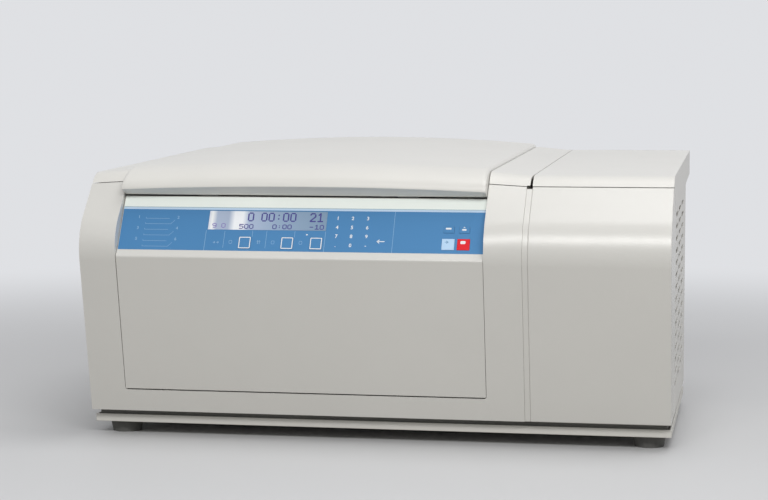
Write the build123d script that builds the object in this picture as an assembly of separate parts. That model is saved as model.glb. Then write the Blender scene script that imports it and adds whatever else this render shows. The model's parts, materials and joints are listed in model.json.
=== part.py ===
from build123d import *
import os
from math import atan2, cos, hypot, pi, radians, sin, sqrt, tan

# Refrigerated benchtop centrifuge. Millimetres, +X to the right seen from the front, +Y to the rear, +Z up.
# The origin is at the middle of the footprint, on the surface that the feet stand on.

# Plan, from left to right
strip_width = 47.3
bay_margin = 29.95
joint_gap = 7.1
module_width = 174.4
module_depth = 450.0
front_room = 28.0
rear_room = 59.0

# Heights
foot_height = 16.0
base_height = 10.0
shadow_gap = 7.6
deck_height = 311.0
seam_height = deck_height + 15.5
hood_front_low = seam_height - 11.5
hood_rear_low = hood_front_low + 9.0

# Front line in side view: a lower plane, the nose arc and an upper facet
nose_radius = 63.0
nose_height = seam_height - 82.3
lower_slant = 12.5
upper_slant = 44.3
inner_slant = 42.0
seam_rise = 2.8
top_level = seam_height + 11.35
top_slope = 1.97
top_round = 30.0
shoulder_rise = 4.4

# Returns of the front mouldings round the sides
return_top = 67.0
return_depth = 122.0
return_height = seam_height - 35.5

# Walls and running gaps
moulding = 3.5
sheet = 1.5
cover_wall = 2.0
flange = 14.0
seam_line = 0.8
panel_gap = 0.3
lid_gap = 0.8
fit = 0.05
travel_gap = 0.3

# Fascia and control panel
fascia_bottom = 61.7
fascia_gap = 0.6
fascia_foot_gap = 1.5
fascia_corner = 3.5
fascia_top = deck_height + 0.5
fascia_back = 62.0
panel_rise = 66.5
panel_low = fascia_top - panel_rise
ledge_height = panel_low - 7.5
ledge_round = 4.0
panel_set_back = 8.5
panel_top_back = 46.4
foil = 0.6
foil_margin = 0.6
display_size = (153.0, 26.6)
display_place = (-43.0, 43.1)
display_lap = 2.0
window_gap = 0.2
key_gap = 0.25
key_proud = 0.35
key_length = 4.6

# Lid
lid_wall = 3.0
lid_lip_back = 27.8
lid_lip_height = deck_height + 9.5
lid_gap_line = 45.0
lid_bottom = deck_height + 2.7
lid_top_level = deck_height + 36.0
lid_crown_front = 5.0
lid_crown_rear = 10.0
lid_rear_low = deck_height + 10.0
lid_rear_gap = 2.0
lid_side_round = 6.0
liner_thickness = 3.0

# Hinge
hinge_height = deck_height + 16.0
hinge_half_span = 170.0
hinge_pin_radius = 4.0
hinge_eye_radius = 7.0
hinge_arm_width = 10.0
hinge_ear = 4.0

# Latch
latch_half_span = 130.0
striker_back = 70.0
striker_thickness = 4.0
striker_width = 24.0
striker_window = 12.0
latch_shaft_radius = 4.0
latch_pivot_back = 84.0
latch_pivot_height = deck_height - 53.0
latch_reach = 36.0
latch_nose = 17.0
latch_open_angle = 30.0

# Chamber
chamber_radius = 205.0
chamber_floor = 105.0
chamber_wall = 1.5
evaporator_wall = 3.0
insulation_thickness = 23.0
insulation_floor = 20.0
gasket_width = 9.0
gasket_inset = 6.0

# Drive and rotor
motor_radius = 62.0
motor_top = 96.0
mount_height = 12.0
spindle_radius = 8.0
trunnion_radius = 97.0
trunnion_pin = 5.0
bucket_half = 38.0
bucket_above = 25.0
bucket_below = 84.0
bucket_floor_gap = 21.0
trunnion_height = chamber_floor + bucket_floor_gap + bucket_below
bucket_wall = 2.5
bucket_pad = 3.5
yoke_half_height = 14.0

# Cooling module
slot_length = 66.0
slot_height = 5.6
slot_pitch = 15.5
slot_columns = 3
slot_column_pitch = 88.0
slot_first_back = return_depth + slot_length / 2 + 8.0
slot_low = 72.0
slot_step = 2.9
compressor_radius = 55.0
compressor_back = module_depth - flange - compressor_radius - 7.0
condenser_thickness = 28.0
fan_height = 175.0

# Places worked out from the sizes above
insulation_radius = chamber_radius + insulation_thickness
chamber_back = fascia_back + front_room + insulation_radius
depth = chamber_back + insulation_radius + rear_room
hinge_back = depth - 13.0
liner_back = depth - 33.0
lid_bay = 2 * (chamber_radius + bay_margin)
main_width = 2 * strip_width + lid_bay
width = main_width + joint_gap + module_width
x_left = -width / 2
x_bay_left = x_left + strip_width
x_bay_right = x_bay_left + lid_bay
x_main = x_left + main_width
x_module = x_main + joint_gap
x_right = x_module + module_width
x_mid = (x_left + x_main) / 2
x_module_mid = (x_module + x_right) / 2
front = -depth / 2
back = depth / 2
base_top = foot_height + base_height
panel_bottom = base_top + shadow_gap


def behind(distance):
    """The y of a place that lies this far behind the front-most point."""
    return front + distance


def top_at(y):
    """Height of the flat top of the housing at y."""
    return top_level + (y - front) * tan(radians(top_slope))


def front_points(low, high, slant, inset):
    """Ends and tangent points of the front line between two heights, set inwards."""
    radius = nose_radius - inset
    cy = front + nose_radius
    a = radians(lower_slant)
    b = radians(slant)
    t1 = (cy - radius * cos(a), nose_height - radius * sin(a))
    t2 = (cy - radius * cos(b), nose_height + radius * sin(b))
    start = (t1[0] + (t1[1] - low) * tan(a), low)
    end = (t2[0] + (high - t2[1]) * tan(b), high)
    return start, t1, (cy - radius, nose_height), t2, end


def front_face(low, high, slant, inset, rear_points):
    """Side view that follows the front line and closes through the rear points."""
    start, t1, nose, t2, end = front_points(low, high, slant, inset)
    closing = [end] + rear_points + [start]
    edges = [Line(start, t1), ThreePointArc(t1, nose, t2), Line(t2, end)]
    edges += [Line(p, q) for p, q in zip(closing, closing[1:])]
    return make_face(edges)


def polygon(points):
    """Closed face through the points."""
    return make_face(Polyline(*points, close=True))


def rounded(points, radii):
    """Closed face through the points, each corner with its own radius."""
    return make_face(FilletPolyline(*points, radius=radii, close=True))


def side_at(face, x):
    """A side view, drawn as (y, z), set at x."""
    return Plane.YZ.offset(x) * face


def side_slab(face, x0, x1):
    """A side view given a width from x0 to x1."""
    return extrude(side_at(face, x0), amount=x1 - x0, dir=(1, 0, 0))


def front_slab(face, y0, y1):
    """A front view, drawn as (x, z), given a depth from y0 to y1."""
    return extrude(Plane.XZ.offset(-y0) * face, amount=y1 - y0, dir=(0, 1, 0))


def plan_slab(face, z0, z1):
    """A plan given a height from z0 to z1."""
    return extrude(Pos(0, 0, z0) * face, amount=z1 - z0, dir=(0, 0, 1))


def block(x0, x1, y0, y1, z0, z1):
    """Box between two corners."""
    middle = Pos((x0 + x1) / 2, (y0 + y1) / 2, (z0 + z1) / 2)
    return middle * Box(x1 - x0, y1 - y0, z1 - z0)


def rod(x0, x1, y, z, radius):
    """Round bar along X."""
    return Pos((x0 + x1) / 2, y, z) * Rot(0, 90, 0) * Cylinder(radius, x1 - x0)


def post(x, y, z0, z1, radius):
    """Round bar along Z."""
    return Pos(x, y, (z0 + z1) / 2) * Cylinder(radius, z1 - z0)


def turned(points, x, y):
    """Section drawn as (radius, z), turned about the vertical through x and y."""
    section = Plane.XZ * polygon(points)
    return Pos(x, y, 0) * revolve(section, axis=Axis.Z)


def vent(y, z, length, height):
    """Stamped vent with pointed ends, centred on y and z of its view."""
    tip = height / 2
    end = length / 2
    points = [(-end, 0), (tip - end, -tip), (end - tip, -tip), (end, 0), (end - tip, tip), (tip - end, tip)]
    return Pos(y, z) * polygon(points)


def save(name, shape):
    export_step(shape, f"parts/{name}.step")


os.makedirs("parts", exist_ok=True)

# Base pan: a shallow tray with an upturned rim and a raised rail that the panels stand on
base_side = 0.3
base_front = 60.0
pan_floor = 2.5
rail_inset = 5.0
rail_width = 7.0


def pan_plan(inset):
    """Outline of the tray, deeper behind the housing than behind the module."""
    left_x = x_left + base_side + inset
    right_x = x_right - base_side - inset
    step_x = x_main - inset
    front_y = behind(base_front) + inset
    return polygon(
        [
            (left_x, front_y),
            (right_x, front_y),
            (right_x, behind(module_depth) - inset),
            (step_x, behind(module_depth) - inset),
            (step_x, back - base_side - inset),
            (left_x, back - base_side - inset),
        ]
    )


pan_top = foot_height + pan_floor
base_pan = plan_slab(pan_plan(0), foot_height, base_top)
base_pan -= plan_slab(pan_plan(pan_floor), pan_top, base_top)
rail = plan_slab(pan_plan(rail_inset), pan_top, panel_bottom)
rail -= plan_slab(pan_plan(rail_inset + rail_width), pan_top, panel_bottom)
base_pan += rail
save("base_pan", base_pan)

# Feet: four round rubber feet that widen towards the pan
foot_tread = 18.5
foot_crown = 21.5
foot_left = x_left + 32.0
foot_right = x_right - 29.5
foot_front = behind(93.5)
foot_places = [
    (foot_left, foot_front),
    (foot_right, foot_front),
    (foot_left, back - 60.0),
    (foot_right, behind(module_depth) - 35.0),
]
feet = Part()
for x, y in foot_places:
    feet += Pos(x, y, foot_height / 2) * Cone(foot_tread, foot_crown, foot_height)
save("feet", feet)

# Front mouldings: skin, flanges and side returns in one piece
def cheek_edge(seam):
    """Rear edge of a side return, from the seam down."""
    return [
        (behind(return_top), seam),
        (behind(return_depth), return_height),
        (behind(return_depth), panel_bottom),
    ]


def cheek_face(slant, seam):
    return front_face(panel_bottom, seam, slant, 0, cheek_edge(seam))


def hollow_face(slant, seam):
    """Room behind the skin, inside the flanges."""
    low = panel_bottom + moulding
    high = seam - moulding
    rear_y = behind(return_depth) + 1
    return front_face(low, high, slant, moulding, [(rear_y, high), (rear_y, low)])


def flange_trim(x0, x1, seam):
    """Cuts the lower flange back to its depth."""
    flange_y = behind(base_front + flange)
    return block(x0, x1, flange_y, behind(return_depth) + 1, panel_bottom - 1, seam - moulding)


def strip_moulding(x_outer, x_inner):
    """One strip beside the lid: it bulges a little towards the lid."""
    x0 = min(x_outer, x_inner)
    x1 = max(x_outer, x_inner)
    inner_seam = seam_height + seam_rise
    slants = {x_outer: (upper_slant, seam_height), x_inner: (inner_slant, inner_seam)}
    outer = loft([side_at(cheek_face(*slants[x]), x) for x in (x0, x1)], ruled=True)
    share = moulding / (x1 - x0)
    sections = []
    for x, other in ((x0, x1), (x1, x0)):
        near, far = slants[x], slants[other]
        mixed = [n + (f - n) * share for n, f in zip(near, far)]
        inset_x = x + (moulding if x == x0 else -moulding)
        sections.append(side_at(hollow_face(*mixed), inset_x))
    outer -= loft(sections, ruled=True)
    outer -= flange_trim(x0 + moulding, x1 - moulding, seam_height)
    return outer


def bay_opening(gap):
    """Front view of the opening between the strips, with rounded lower corners."""
    x0 = x_bay_left + gap
    x1 = x_bay_right - gap
    z0 = fascia_bottom + gap
    points = [(x0, z0), (x1, z0), (x1, seam_height + 60), (x0, seam_height + 60)]
    radius = fascia_corner - gap
    return front_slab(rounded(points, [radius, radius, 0, 0]), front - 5, behind(return_depth) + 5)


band_high = fascia_bottom + fascia_corner + moulding
front_frame = strip_moulding(x_left, x_bay_left) + strip_moulding(x_main, x_bay_right)
low_line = front_points(panel_bottom, band_high, upper_slant, 0)
band_lean = (low_line[1][0] - low_line[0][0]) / (low_line[1][1] - low_line[0][1])
band_front = low_line[0][0] + (band_high - panel_bottom) * band_lean
band = polygon(
    [
        low_line[0],
        (band_front, band_high),
        (band_front + moulding, band_high),
        (low_line[0][0] + moulding, panel_bottom + moulding),
        (behind(base_front + flange), panel_bottom + moulding),
        (behind(base_front + flange), panel_bottom),
    ]
)
band_slab = side_slab(band, x_bay_left - moulding, x_bay_right + moulding)
front_frame += band_slab - bay_opening(0)
save("front_frame", front_frame)

# Joint strip: closes the front of the joint, set back between the two mouldings
joint_set_back = 1.5
joint_top = seam_height - 2.5
joint_rear = front_points(panel_bottom, joint_top, upper_slant, joint_set_back + moulding)
joint_outer = front_points(panel_bottom, joint_top, upper_slant, joint_set_back)
joint_face = make_face(
    [
        Line(joint_outer[0], joint_outer[1]),
        ThreePointArc(*joint_outer[1:4]),
        Line(joint_outer[3], joint_outer[4]),
        Line(joint_outer[4], joint_rear[4]),
        Line(joint_rear[4], joint_rear[3]),
        ThreePointArc(*joint_rear[3:0:-1]),
        Line(joint_rear[1], joint_rear[0]),
        Line(joint_rear[0], joint_outer[0]),
    ]
)
save("joint_strip", side_slab(joint_face, x_main, x_module))

# Control panel plane: u to the right from the middle of the fascia, v up along the slope
panel_slope = atan2(panel_top_back - panel_set_back, fascia_top - panel_low)
panel_length = hypot(panel_top_back - panel_set_back, fascia_top - panel_low)
panel_plane = Plane(
    origin=(x_mid, behind(panel_set_back), panel_low),
    x_dir=(1, 0, 0),
    z_dir=(0, -cos(panel_slope), sin(panel_slope)),
)


def on_panel(face, lowest, highest):
    """A shape drawn on the panel as (u, v), between two depths along its normal."""
    return extrude(panel_plane.offset(lowest) * face, amount=highest - lowest, dir=panel_plane.z_dir)


def tile(u, v, w, h, gap=0.0):
    """Rectangle on the panel, grown by the gap."""
    return Pos(u, v) * Rectangle(w + 2 * gap, h + 2 * gap)


set_key_size = (15.6, 16.4)
run_key_size = (15.6, 15.0)
soft_key_size = (13.0, 9.0)
start_column = lid_bay / 2 - 45.55
stop_column = lid_bay / 2 - 26.35
key_places = {
    "set_key_1": (-69.3, 12.0, set_key_size),
    "set_key_2": (-14.6, 12.0, set_key_size),
    "set_key_3": (22.5, 12.0, set_key_size),
    "pulse_key": (start_column, 33.4, soft_key_size),
    "open_key": (stop_column, 33.4, soft_key_size),
    "start_key": (start_column, 13.2, run_key_size),
    "stop_key": (stop_column, 13.2, run_key_size),
}

# Fascia: plain lower panel, a rounded ledge, and the slope that carries the controls
fascia_foot = fascia_bottom + fascia_foot_gap
fascia_low = front_points(fascia_foot, seam_height, upper_slant, 0)[0]
ledge_front = front_points(ledge_height, seam_height, upper_slant, 0)[2][0] + 0.6
fascia_points = [
    fascia_low,
    (ledge_front + 0.8, ledge_height),
    (behind(panel_set_back), panel_low),
    (behind(panel_top_back), fascia_top),
    (behind(fascia_back), fascia_top),
    (behind(fascia_back), fascia_foot),
]
fascia_outer = rounded(fascia_points, [0, ledge_round, 0, 0, 0, 0])
fascia_inner = offset(fascia_outer, amount=-moulding, kind=Kind.INTERSECTION)
fascia_rear = polygon(
    [
        (behind(fascia_back) - 2 * moulding, fascia_foot + moulding),
        (behind(fascia_back) + 1, fascia_foot + moulding),
        (behind(fascia_back) + 1, fascia_top - moulding),
        (behind(fascia_back) - 2 * moulding, fascia_top - moulding),
    ]
)
fascia_left = x_bay_left + fascia_gap
fascia_right = x_bay_right - fascia_gap
fascia = side_slab(fascia_outer, fascia_left, fascia_right)
fascia -= side_slab(fascia_inner, fascia_left + moulding, fascia_right - moulding)
fascia -= side_slab(fascia_rear, fascia_left + moulding, fascia_right - moulding)
fascia &= bay_opening(fascia_gap)
foil_width = fascia_right - fascia_left - 2 * foil_margin
foil_height = panel_length - 2 * foil_margin
foil_face = tile(0, panel_length / 2, foil_width, foil_height)
fascia -= on_panel(foil_face, -foil, 1)
window_face = tile(*display_place, *display_size)
display_hole = tile(*display_place, *display_size, gap=-display_lap)
fascia -= on_panel(display_hole, -moulding - 2, 1)
overlay = on_panel(foil_face, -foil, 0) - on_panel(window_face, -foil - 1, 1)
for u, v, size in key_places.values():
    key_hole = on_panel(tile(u, v, *size, gap=key_gap), -moulding - 2, 1)
    fascia -= key_hole
    overlay -= key_hole
save("fascia", fascia)
save("keypad_overlay", overlay)
save("display_window", on_panel(tile(*display_place, *display_size, gap=-window_gap), -foil, 0))

# Display module and control board behind the slope
display_depth = 9.0
board_thickness = 1.6
module_face = tile(*display_place, display_size[0] + 8, display_size[1] + 8)
save("display_module", on_panel(module_face, -moulding - display_depth, -moulding))
board_size = (lid_bay - 49.9, 52.0)
board_face = tile(0, board_size[1] / 2 + 8, *board_size)
board_near = -moulding - display_depth
save("control_board", on_panel(board_face, board_near - board_thickness, board_near))

# Keys: each slides in its own hole in the fascia
for name, (u, v, size) in key_places.items():
    key = on_panel(tile(u, v, *size), -key_length + key_proud, key_proud)
    save(name, key)

# Top cover: a shoulder on each side of the lid, the deck between them and a lip over the joint
shoulder_wall = 3.0
deck_low = deck_height - shoulder_wall


def shoulder_face(slant, seam, rise, inset):
    """Side view of a shoulder above the seam, set inwards."""
    b = radians(slant)
    foot = front_points(panel_bottom, seam + seam_line, slant, inset)[4]
    slope = tan(radians(top_slope))
    level = top_level + rise - inset
    rear_y = back - inset
    corner_y = (foot[0] + (level - front * slope - foot[1]) * tan(b)) / (1 - slope * tan(b))
    corner = (corner_y, level + (corner_y - front) * slope)
    low = seam + seam_line - (6 if inset else 0)
    low_front = foot if not inset else (foot[0] - 6 * tan(b), low)
    points = [low_front, corner, (rear_y, level + (rear_y - front) * slope), (rear_y, low)]
    return rounded(points, [0, top_round - inset, 0, 0])


def shoulder(x_outer, x_inner):
    outer_values = (upper_slant, seam_height, 0.0)
    inner_values = (inner_slant, seam_height + seam_rise, shoulder_rise)
    ends = [(x_outer, outer_values, inner_values), (x_inner, inner_values, outer_values)]
    ends.sort(key=lambda end: end[0])
    solid = loft([side_at(shoulder_face(*values, 0), x) for x, values, _ in ends], ruled=True)
    share = shoulder_wall / strip_width
    rooms = []
    for (x, near, far), side in zip(ends, (1, -1)):
        mixed = [n + (f - n) * share for n, f in zip(near, far)]
        rooms.append(side_at(shoulder_face(*mixed, shoulder_wall), x + side * shoulder_wall))
    return solid - loft(rooms, ruled=True)


def skirt(x0, x1):
    """Wall of a shoulder beside the lid, down to the deck."""
    seam = seam_height + seam_rise + seam_line
    lean = (return_depth - return_top) / (seam_height + seam_rise - return_height)
    low_y = behind(return_top) + (seam_height + seam_rise - deck_low) * lean + seam_line
    points = [(behind(return_top) + seam_line, seam), (low_y, deck_low), (back, deck_low), (back, seam + 3)]
    return side_slab(polygon(points), x0, x1)


chamber_y = behind(chamber_back)
deck_front = behind(fascia_back) + seam_line
deck = block(x_bay_left - 1, x_bay_right + 1, deck_front, back, deck_low, deck_height)
deck -= block(x_left, x_bay_left, front, behind(return_depth), 0, seam_height)
deck -= block(x_bay_right, x_main, front, behind(return_depth), 0, seam_height)
top_cover = shoulder(x_left, x_bay_left) + shoulder(x_main, x_bay_right)
top_cover += skirt(x_bay_left - shoulder_wall, x_bay_left)
top_cover += skirt(x_bay_right, x_bay_right + shoulder_wall)
top_cover += deck
lip_gap = 1.2
lip_front_gap = 3.0
lip_start = 82.0
lip_plan = polygon(
    [
        (x_main - 1, front),
        (x_module - lip_front_gap, front),
        (x_module - lip_front_gap, behind(return_top)),
        (x_module - lip_gap, behind(lip_start)),
        (x_module - lip_gap, back),
        (x_main - 1, back),
    ]
)
lip = side_slab(shoulder_face(upper_slant, seam_height, 0.0, 0), x_main - 1, x_module)
lip -= side_slab(shoulder_face(upper_slant, seam_height, 0.0, shoulder_wall), x_main - 2, x_module + 1)
lip &= plan_slab(lip_plan, seam_height, top_at(back) + 1)
lip_floor = block(x_main - 2, x_module, front, back + 1, 0, seam_height + 2 * seam_line)
top_cover += lip - lip_floor
top_cover -= post(x_mid, chamber_y, deck_height - 10, deck_height + 10, chamber_radius + 3)
striker_slot = 3.0
for side in (-1, 1):
    x = x_mid + side * latch_half_span
    half = striker_width / 2 + striker_slot
    y0 = behind(striker_back) - striker_slot - 1
    y1 = behind(striker_back + striker_thickness) + striker_slot + 1
    top_cover -= block(x - half, x + half, y0, y1, deck_height - 10, deck_height + 10)
save("top_cover", top_cover)

# Side panels and rear panel of the main housing
rear_recess = 6.0


def side_panel(x_outside, side):
    """Sheet with a lower flange that stands on the rail; side is 1 where it faces left."""
    edge = [(y + panel_gap, z) for y, z in cheek_edge(seam_height)]
    points = edge + [(back, panel_bottom), (back, seam_height)]
    x_inside = x_outside + side * sheet
    x0, x1 = sorted((x_outside, x_inside))
    panel = side_slab(polygon(points), x0, x1)
    x0, x1 = sorted((x_outside, x_outside + side * flange))
    flange_end = back - rear_recess - sheet
    return panel + block(x0, x1, behind(return_depth), flange_end, panel_bottom, panel_bottom + sheet)


left_panel = side_panel(x_left, 1)
right_panel = side_panel(x_main, -1)
save("left_side_panel", left_panel)

rear_y0 = back - rear_recess - sheet
rear_y1 = back - rear_recess
rear_left = x_left + sheet
rear_right = x_main - sheet
rear_points = [
    (rear_left, panel_bottom),
    (rear_right, panel_bottom),
    (rear_right, seam_height),
    (x_bay_right + shoulder_wall, seam_height),
    (x_bay_right + shoulder_wall, deck_height - shoulder_wall),
    (x_bay_left - shoulder_wall, deck_height - shoulder_wall),
    (x_bay_left - shoulder_wall, seam_height),
    (rear_left, seam_height),
]
rear_panel = front_slab(polygon(rear_points), rear_y0, rear_y1)
rear_slots = Part()
for row in range(6):
    for column in (-1, 1):
        slot = vent(x_mid + column * 60, 90 + row * 14, 90, 6)
        rear_slots += front_slab(slot, rear_y0 - 1, rear_y1 + 1)
rear_panel -= rear_slots

# Mains inlet with its switch frame, in one housing in the rear panel
inlet_x = x_left + 92.0
inlet_z = 92.0
inlet_plate = (58.0, 70.0)
inlet_body = (50.0, 62.0)
inlet_depth = 26.0
inlet_lip = 1.4
socket_size = (26.0, 19.0)
socket_depth = 16.0
socket_drop = 17.0
rocker_rise = 15.0
rocker_width = 19.0
rocker_half_height = 12.4
rocker_half_depth = 3.6
rocker_tilt = 8.0
rocker_radius = hypot(rocker_half_height, rocker_half_depth)
rocker_z = inlet_z + rocker_rise
rocker_y = rear_y1 + inlet_lip
rocker_pin = 1.5


def around_inlet(size, y0, y1, dz=0.0):
    return front_slab(Pos(inlet_x, inlet_z + dz) * Rectangle(*size), y0, y1)


rear_panel -= around_inlet([s + 2 * fit for s in inlet_body], rear_y0 - 1, rear_y1 + 1)
save("rear_panel", rear_panel)
inlet = around_inlet(inlet_plate, rear_y1, rear_y1 + inlet_lip)
inlet += around_inlet(inlet_body, rear_y1 - inlet_depth, rear_y1)
inlet -= around_inlet(socket_size, rear_y1 + inlet_lip - socket_depth, rear_y1 + inlet_lip + 1, -socket_drop)
for dx, dz in ((-7.0, -3.0), (7.0, -3.0), (0.0, 3.0)):
    blade = (inlet_x + dx - 1, inlet_x + dx + 1)
    z = inlet_z - socket_drop + dz
    inlet += block(*blade, rear_y1 + inlet_lip - socket_depth - 1, rear_y1 - 2, z - 2.5, z + 2.5)
rocker_room = (rocker_width + 2 * travel_gap, 2 * (rocker_radius + travel_gap))
room_back = rocker_y - rocker_radius - travel_gap
inlet -= around_inlet(rocker_room, room_back, rear_y1 + inlet_lip + 1, rocker_rise)
pin_reach = rocker_width / 2 + 3
inlet -= rod(inlet_x - pin_reach, inlet_x + pin_reach, rocker_y - 3, rocker_z, rocker_pin + fit)
save("mains_inlet", inlet)
rocker_points = [
    (-rocker_half_depth, -rocker_half_height),
    (rocker_half_depth, -rocker_half_height),
    (rocker_half_depth * 0.45, 0),
    (rocker_half_depth, rocker_half_height),
    (-rocker_half_depth, rocker_half_height),
]
rocker = side_slab(polygon(rocker_points), -rocker_width / 2, rocker_width / 2)
rocker += rod(-rocker_width / 2 - 2, rocker_width / 2 + 2, 0, 0, rocker_pin)
rocker = Pos(inlet_x, rocker_y - 3, rocker_z) * Rot(-rocker_tilt, 0, 0) * rocker
save("mains_rocker", rocker)

# Module front panel: same side view as the strips, without their bulge
module_front = side_slab(cheek_face(upper_slant, seam_height), x_module, x_right)
inside = (x_module + moulding, x_right - moulding)
module_front -= side_slab(hollow_face(upper_slant, seam_height), *inside)
module_front -= flange_trim(*inside, seam_height)
save("module_front_panel", module_front)

# Module cover: top, sides and the hood over the rear, with vent slots in the right side
cover_seam = seam_height + seam_line
cover_foot = front_points(panel_bottom, cover_seam, upper_slant, 0)[4]
cover_slope = tan(radians(top_slope))
cover_lean = tan(radians(upper_slant))
cover_corner_y = (cover_foot[0] + (top_at(0) - cover_foot[1]) * cover_lean) / (1 - cover_slope * cover_lean)
cover_points = [
    cover_foot,
    (cover_corner_y, top_at(cover_corner_y)),
    (back, top_at(back)),
    (back, hood_rear_low),
    (behind(module_depth), hood_front_low),
    (behind(module_depth), panel_bottom),
    (behind(return_depth) + seam_line, panel_bottom),
    (behind(return_depth) + seam_line, return_height),
    (behind(return_top) + seam_line, cover_seam),
]
cover_face = rounded(cover_points, [0, top_round, 0, 0, 0, 0, 0, 0, 0])
cover_room = offset(cover_face, amount=-cover_wall, kind=Kind.INTERSECTION)
module_cover = side_slab(cover_face, x_module, x_right)
room_left = x_module + cover_wall
room_right = x_right - cover_wall
module_cover -= side_slab(cover_room, room_left, room_right)
mouth_points = [
    (behind(return_top) + 3, cover_seam + cover_wall),
    (behind(return_depth) + 5, return_height),
    (behind(return_depth) + 5, panel_bottom - 1),
    (behind(return_depth) - 5, panel_bottom - 1),
    (behind(return_depth) - 5, return_height - 10),
    (behind(return_top) - 5, cover_seam),
]
module_cover -= side_slab(polygon(mouth_points), room_left, room_right)
module_cover -= block(
    x_module + flange,
    x_right - flange,
    behind(return_depth),
    behind(module_depth) - flange,
    panel_bottom - 1,
    panel_bottom + 5,
)
rear_margin = 12.0
rear_low = 50.0
rear_high = hood_front_low - 15.0
module_cover -= block(
    x_module + rear_margin,
    x_right - rear_margin,
    behind(module_depth) - 5,
    behind(module_depth) + 1,
    rear_low,
    rear_high,
)
vents = Sketch()
slot_rows = 1 + int((return_height - slot_low) / slot_pitch)
for column in range(slot_columns):
    for row in range(slot_rows):
        y = behind(slot_first_back) + column * slot_column_pitch
        z = slot_low + row * slot_pitch + column * slot_step
        vents += vent(y, z, slot_length, slot_height)
module_cover -= side_slab(vents, room_right - 1, x_right + 1)

# Rear panel of the module, with the fan's outlet grille
grille_lap = 6.0
rear_sheet = sheet
module_rear = block(
    x_module + rear_margin - grille_lap,
    x_right - rear_margin + grille_lap,
    behind(module_depth),
    behind(module_depth) + rear_sheet,
    rear_low - grille_lap,
    rear_high + grille_lap,
)
grille = Sketch()
grille_columns = 8
grille_length = (rear_high - rear_low) / 2 - 40
grille_low = rear_low + grille_length
grille_pitch = (module_width - 2 * rear_margin - 2 * grille_lap) / grille_columns
for column in range(grille_columns):
    x = x_module_mid + (column - (grille_columns - 1) / 2) * grille_pitch
    for z in (grille_low, grille_low + grille_length + 10):
        grille += Pos(x, z) * Rot(0, 0, 90) * vent(0, 0, grille_length, slot_height)
module_rear -= front_slab(grille, behind(module_depth) - 1, behind(module_depth) + 3)
save("module_rear_panel", module_rear)

# Screws of the rear panels
screw_radius = 3.6
screw_head = 2.0
screws = Part()


def screw(x, y, z):
    """Hexagon head that faces the rear."""
    return front_slab(Pos(x, z) * RegularPolygon(screw_radius, 6), y, y + screw_head)


for x in (x_module + rear_margin, x_right - rear_margin):
    for z in (rear_low, rear_high):
        edge = grille_lap / 2
        dx = -edge + 1.2 if x < x_module_mid else edge - 1.2
        dz = -edge + 1.2 if z == rear_low else edge - 1.2
        screws += screw(x + dx, behind(module_depth) + rear_sheet, z + dz)
for x in (x_left + 14.0, x_mid, x_main - 14.0):
    for z in (panel_bottom + 12.0, deck_height - 14.0):
        screws += screw(x, rear_y1, z)
save("cover_screws", screws)

# Chamber: steel bowl, evaporator jacket folded round it, foam and the lip gasket on the deck
bowl_top = deck_height - shoulder_wall
bowl_out = chamber_radius + chamber_wall
bowl_low = chamber_floor - chamber_wall
boot_hole = 45.0
bowl_bend = 16.0
bowl_section = [
    (boot_hole, bowl_low),
    (bowl_out, bowl_low),
    (bowl_out, bowl_top),
    (chamber_radius, bowl_top),
    (chamber_radius, chamber_floor + bowl_bend),
    (chamber_radius - bowl_bend, chamber_floor),
    (boot_hole, chamber_floor),
]
save("chamber_bowl", turned(bowl_section, x_mid, chamber_y))

evaporator_out = bowl_out + evaporator_wall
evaporator_flats = 32
evaporator_low = chamber_floor + bowl_bend
evaporator_high = bowl_top - 25.0


def many_sided(half, sides):
    """Regular plan whose flats lie this far from its middle."""
    return Rot(0, 0, 180 / sides) * RegularPolygon(half, sides, major_radius=False)


jacket = plan_slab(many_sided(evaporator_out, evaporator_flats), evaporator_low, evaporator_high)
jacket -= plan_slab(many_sided(bowl_out, evaporator_flats), evaporator_low, evaporator_high)
save("evaporator", Pos(x_mid, chamber_y, 0) * jacket)

foam_low = bowl_low - insulation_floor
foam_high = bowl_top
foam = plan_slab(many_sided(insulation_radius, 8), foam_low, foam_high)
foam -= plan_slab(many_sided(evaporator_out, evaporator_flats), bowl_low, foam_high + 1)
foam -= plan_slab(Rectangle(2 * motor_radius + 6, 2 * motor_radius + 6), foam_low - 1, bowl_low + 1)
foam = Pos(x_mid, chamber_y, 0) * foam

gasket_top = lid_bottom
gasket_inner = chamber_radius + gasket_inset
gasket_section = [
    (gasket_inner, deck_height),
    (gasket_inner + gasket_width, deck_height),
    (gasket_inner + gasket_width / 3, gasket_top),
]
save("chamber_gasket", turned(gasket_section, x_mid, chamber_y))

# Rubber boot that closes the bowl round the spindle
boot_wall = 3.0
boot_plan = RegularPolygon(boot_hole + 9, 8) - Circle(spindle_radius + 4)
boot = plan_slab(boot_plan, chamber_floor, chamber_floor + boot_wall)
save("spindle_boot", Pos(x_mid, chamber_y, 0) * boot)

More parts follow.
